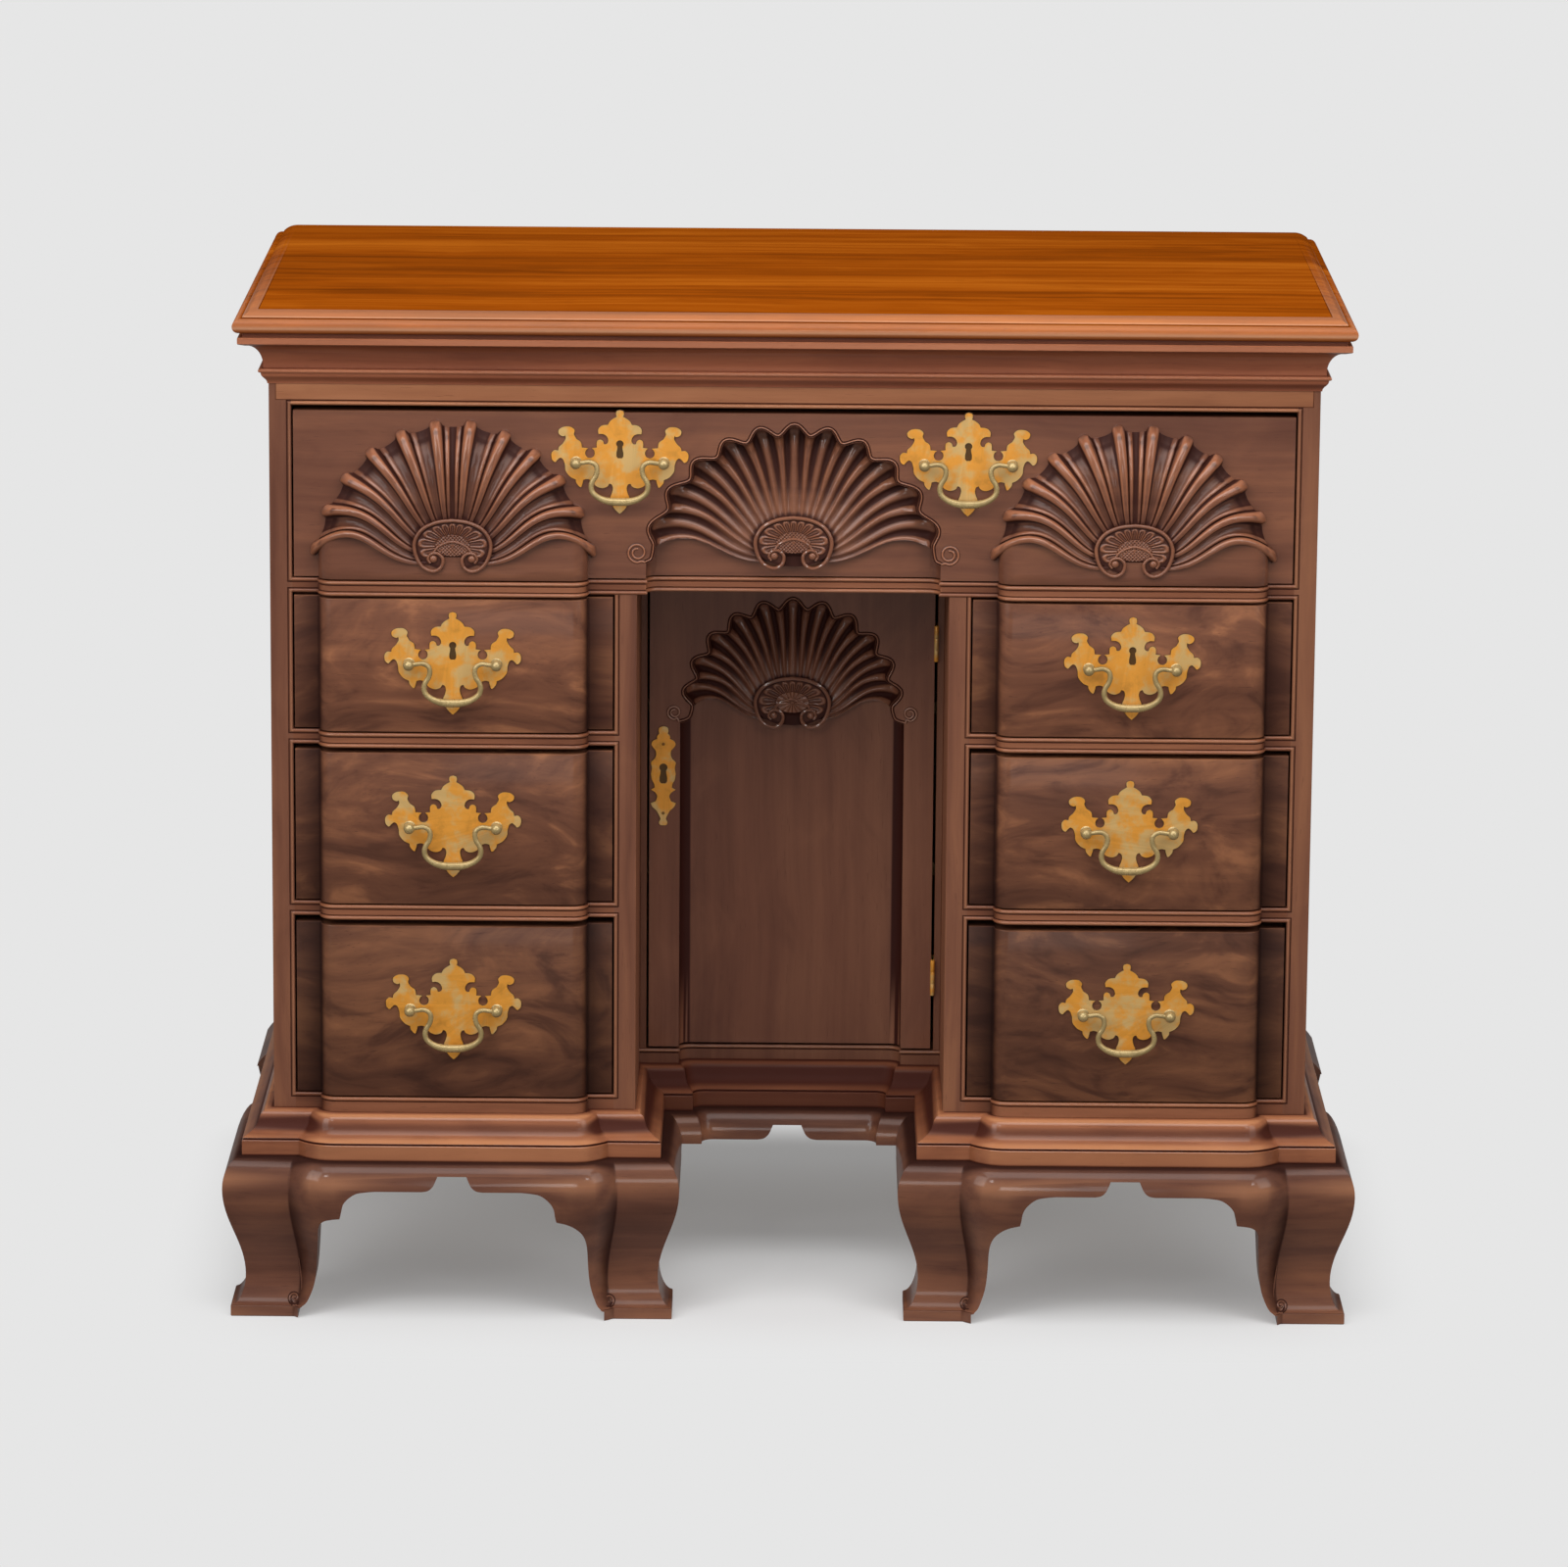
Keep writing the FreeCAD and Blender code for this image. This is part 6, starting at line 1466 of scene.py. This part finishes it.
def pull_pieces(name, owner, keyed):
    """One pull: its back plate, with a keyhole where the drawer locks, its two posts and its bail."""
    low, high = span(f"{name}_plate")
    bail_low, bail_high = span(f"{name}_bail")
    x, face, z = (low[0] + high[0]) / 2, high[1], (low[2] + high[2]) / 2
    axis = (bail_low[1] + bail_high[1]) / 2
    form = Form()
    plate_form(form, PLATE_HALF, x, face, z, KEYHOLE_UP if keyed else None)
    placed(form.object(f"{name}_back_plate", 35), plate_brass, owner, "brass", f"{name}_plate")
    form = Form()
    for way in (-1, 1):
        profile = list(POST_FOOT)
        for step in range(1, 9):
            turn = math.radians(30 + 150 * step / 9)
            profile.append((POST_REACH - POST_BALL * math.cos(turn), POST_BALL * math.sin(turn)))
        profile.append((POST_REACH + POST_BALL, 0.9))
        lathe(form, (x + way * POST_APART / 2, face - PLATE_THICK, z), profile)
    placed(form.object(f"{name}_posts", 35), bail_brass, owner, "brass")
    form = Form()
    half = [tuple(point) for point in flowing(BAIL_HALF, 5)]
    whole = [(-across, up, thick) for across, up, thick in half] + half[-2::-1]
    rod(form, [(x + across, axis, z + up) for across, up, _ in whole], [thick for _, _, thick in whole],
        sides=12, relief=0.1)
    for across, size in COLLARS:
        spot = min(whole, key=lambda point: abs(point[0] - across) + (10 if point[1] > -20 else 0))
        steps = ((-0.7, 0.8), (-0.3, 1), (0.3, 1), (0.7, 0.8))
        rod(form, [(x + spot[0] + step, axis, z + spot[1]) for step, _ in steps],
            [size * scale for _, scale in steps], sides=12)
    placed(form.object(f"{name}_swan_bail", 60), bail_brass, f"{name}_bail", "bail_brass", f"{name}_bail")


for side in ("left", "right"):
    for level in LEVELS:
        pull_pieces(f"drawer_{side}_{level}", f"drawer_{side}_{level}", level == "upper")
    pull_pieces(f"long_drawer_{side}", "long_drawer", True)
low, high = span("door_escutcheon")
key_x, key_z = (low[0] + high[0]) / 2, (low[2] + high[2]) / 2
form = Form()
plate_form(form, KEY_PLATE_HALF, key_x, high[1], key_z, DOOR_KEYHOLE_UP, DOOR_KEYHOLE_SIZE)
for up in PIN_HEIGHTS:
    boss(form, key_x, high[1] - PLATE_THICK, key_z + up, PIN_ROUND, 0.5, -0.8)
placed(form.object("key_plate", 35), plate_brass, "cupboard_door", "brass", "door_escutcheon")

# ---------------------------------------------------------------- studio
# A plain pale floor that carries on out of sight and takes the chest's shadow near it, soft light
# from above and both sides, and the camera.
REACH = 40
BACKGROUND = tone(230, 230, 230)
mesh = bpy.data.meshes.new("floor")
mesh.from_pydata([(-REACH, -REACH, 0), (REACH, -REACH, 0), (REACH, REACH, 0), (-REACH, REACH, 0)], [],
                 [(0, 1, 2, 3)])
floor = bpy.data.objects.new("floor", mesh)
bpy.context.scene.collection.objects.link(floor)
pale, shader, wire = surface("pale_floor")
shader.inputs["Base Color"].default_value = (0.76, 0.76, 0.76, 1)
shader.inputs["Roughness"].default_value = 0.8
shader.inputs["Specular IOR Level"].default_value = 0.0
# The floor takes light only round the chest, and fades to the even background beyond.
SHADOW_SIDE, SHADOW_FRONT, SHADOW_BACK, SHADOW_FADE = 0.4, 0.22, 0.3, 0.15
spot = wire.node("TexCoord", out=3)
along, deep = (wire.node("SeparateXYZ", {}, {0: spot}, axis) for axis in (0, 1))
beside_chest = wire.sum("MAXIMUM", wire.sum("ABSOLUTE", along) - SHADOW_SIDE)
past = wire.sum("MAXIMUM", wire.sum("MAXIMUM", -SHADOW_FRONT - deep, deep - SHADOW_BACK))
away = wire.sum("SQRT", beside_chest * beside_chest + past * past)
far = (away.step(0.0, SHADOW_FADE) * 0.76 + 0.24).clipped()
seen = wire.node("LightPath", out=0)
glow = wire.node("Emission", {}, {"Color": (*BACKGROUND, 1), "Strength": seen * 0.7 + 0.3})
mixed = wire.node("MixShader", {}, {0: far, 1: Wire(pale.node_tree, shader.outputs[0]), 2: glow})
pale.node_tree.links.new(mixed.socket, pale.node_tree.nodes["Material Output"].inputs["Surface"])
floor.data.materials.append(pale)
floor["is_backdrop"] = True

scene = bpy.context.scene
scene.view_settings.view_transform = "Standard"
world = bpy.data.worlds.new("studio")
scene.world = world
world.use_nodes = True
world.node_tree.nodes["Background"].inputs["Color"].default_value = (*BACKGROUND, 1)
wire = Wire(world.node_tree)
ray = {out: wire.node("LightPath", out=out) for out in (0, 3)}
strength = wire.node("Mix", {}, {"Factor": ray[3], 2: 0.34, 3: 0.12})
strength = wire.node("Mix", {}, {"Factor": ray[0], 2: strength, 3: 1.0})
world.node_tree.links.new(strength.socket, world.node_tree.nodes["Background"].inputs["Strength"])


def lamp(name, place, aim, size, watts):
    """A soft rectangular lamp that looks at a point."""
    light = bpy.data.lights.new(name, "AREA")
    light.shape, light.size, light.size_y = "RECTANGLE", *size
    light.energy = watts
    made = bpy.data.objects.new(name, light)
    scene.collection.objects.link(made)
    made.location = place
    made.rotation_euler = (Vector(aim) - Vector(place)).to_track_quat("-Z", "Y").to_euler()


lamp("overhead", (0, -1.3, 2.6), (0, -0.1, 0.6), (2.8, 1.6), 50)
lamp("left_bank", (-2.5, -2.3, 2.0), (0, 0, 0.5), (1.4, 2.0), 38)
lamp("right_bank", (2.5, -2.3, 2.0), (0, 0, 0.5), (1.4, 2.0), 26)
lamp("left_window", (-1.5, -3.2, 2.3), (0, 0, 0.5), (0.35, 0.5), 9)
lamp("right_window", (1.7, -3.2, 2.1), (0, 0, 0.5), (0.3, 0.45), 6)
lamp("kneehole_fill", (0, -3.4, 0.85), (0, 0, 0.6), (0.9, 0.5), 8)

# The lens is a focal length in pixels of a render 1600 wide, and the angles are in radians.
CAMERA_PLACE = (-0.000263, -6.2, 1.777309)
CAMERA_TILT, CAMERA_YAW, CAMERA_ROLL, CAMERA_LENS = 0.217048, -0.001023, 0.007579, 7469.65
PICTURE_WIDE, SENSOR = 1600, 36.0
camera = bpy.data.cameras.new("camera")
camera.sensor_width = SENSOR
camera.lens = CAMERA_LENS / PICTURE_WIDE * SENSOR
camera.clip_end = 100
camera = bpy.data.objects.new("camera", camera)
scene.collection.objects.link(camera)
forward = Vector((math.sin(CAMERA_YAW) * math.cos(CAMERA_TILT), math.cos(CAMERA_YAW) * math.cos(CAMERA_TILT),
                  -math.sin(CAMERA_TILT)))
level_right = Vector((math.cos(CAMERA_YAW), -math.sin(CAMERA_YAW), 0))
upward = level_right.cross(forward)
right = math.cos(CAMERA_ROLL) * level_right + math.sin(CAMERA_ROLL) * upward
over = -math.sin(CAMERA_ROLL) * level_right + math.cos(CAMERA_ROLL) * upward
turned = Matrix((right, over, -forward)).transposed().to_4x4()
turned.translation = CAMERA_PLACE
camera.matrix_world = turned
scene.camera = camera

low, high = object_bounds()
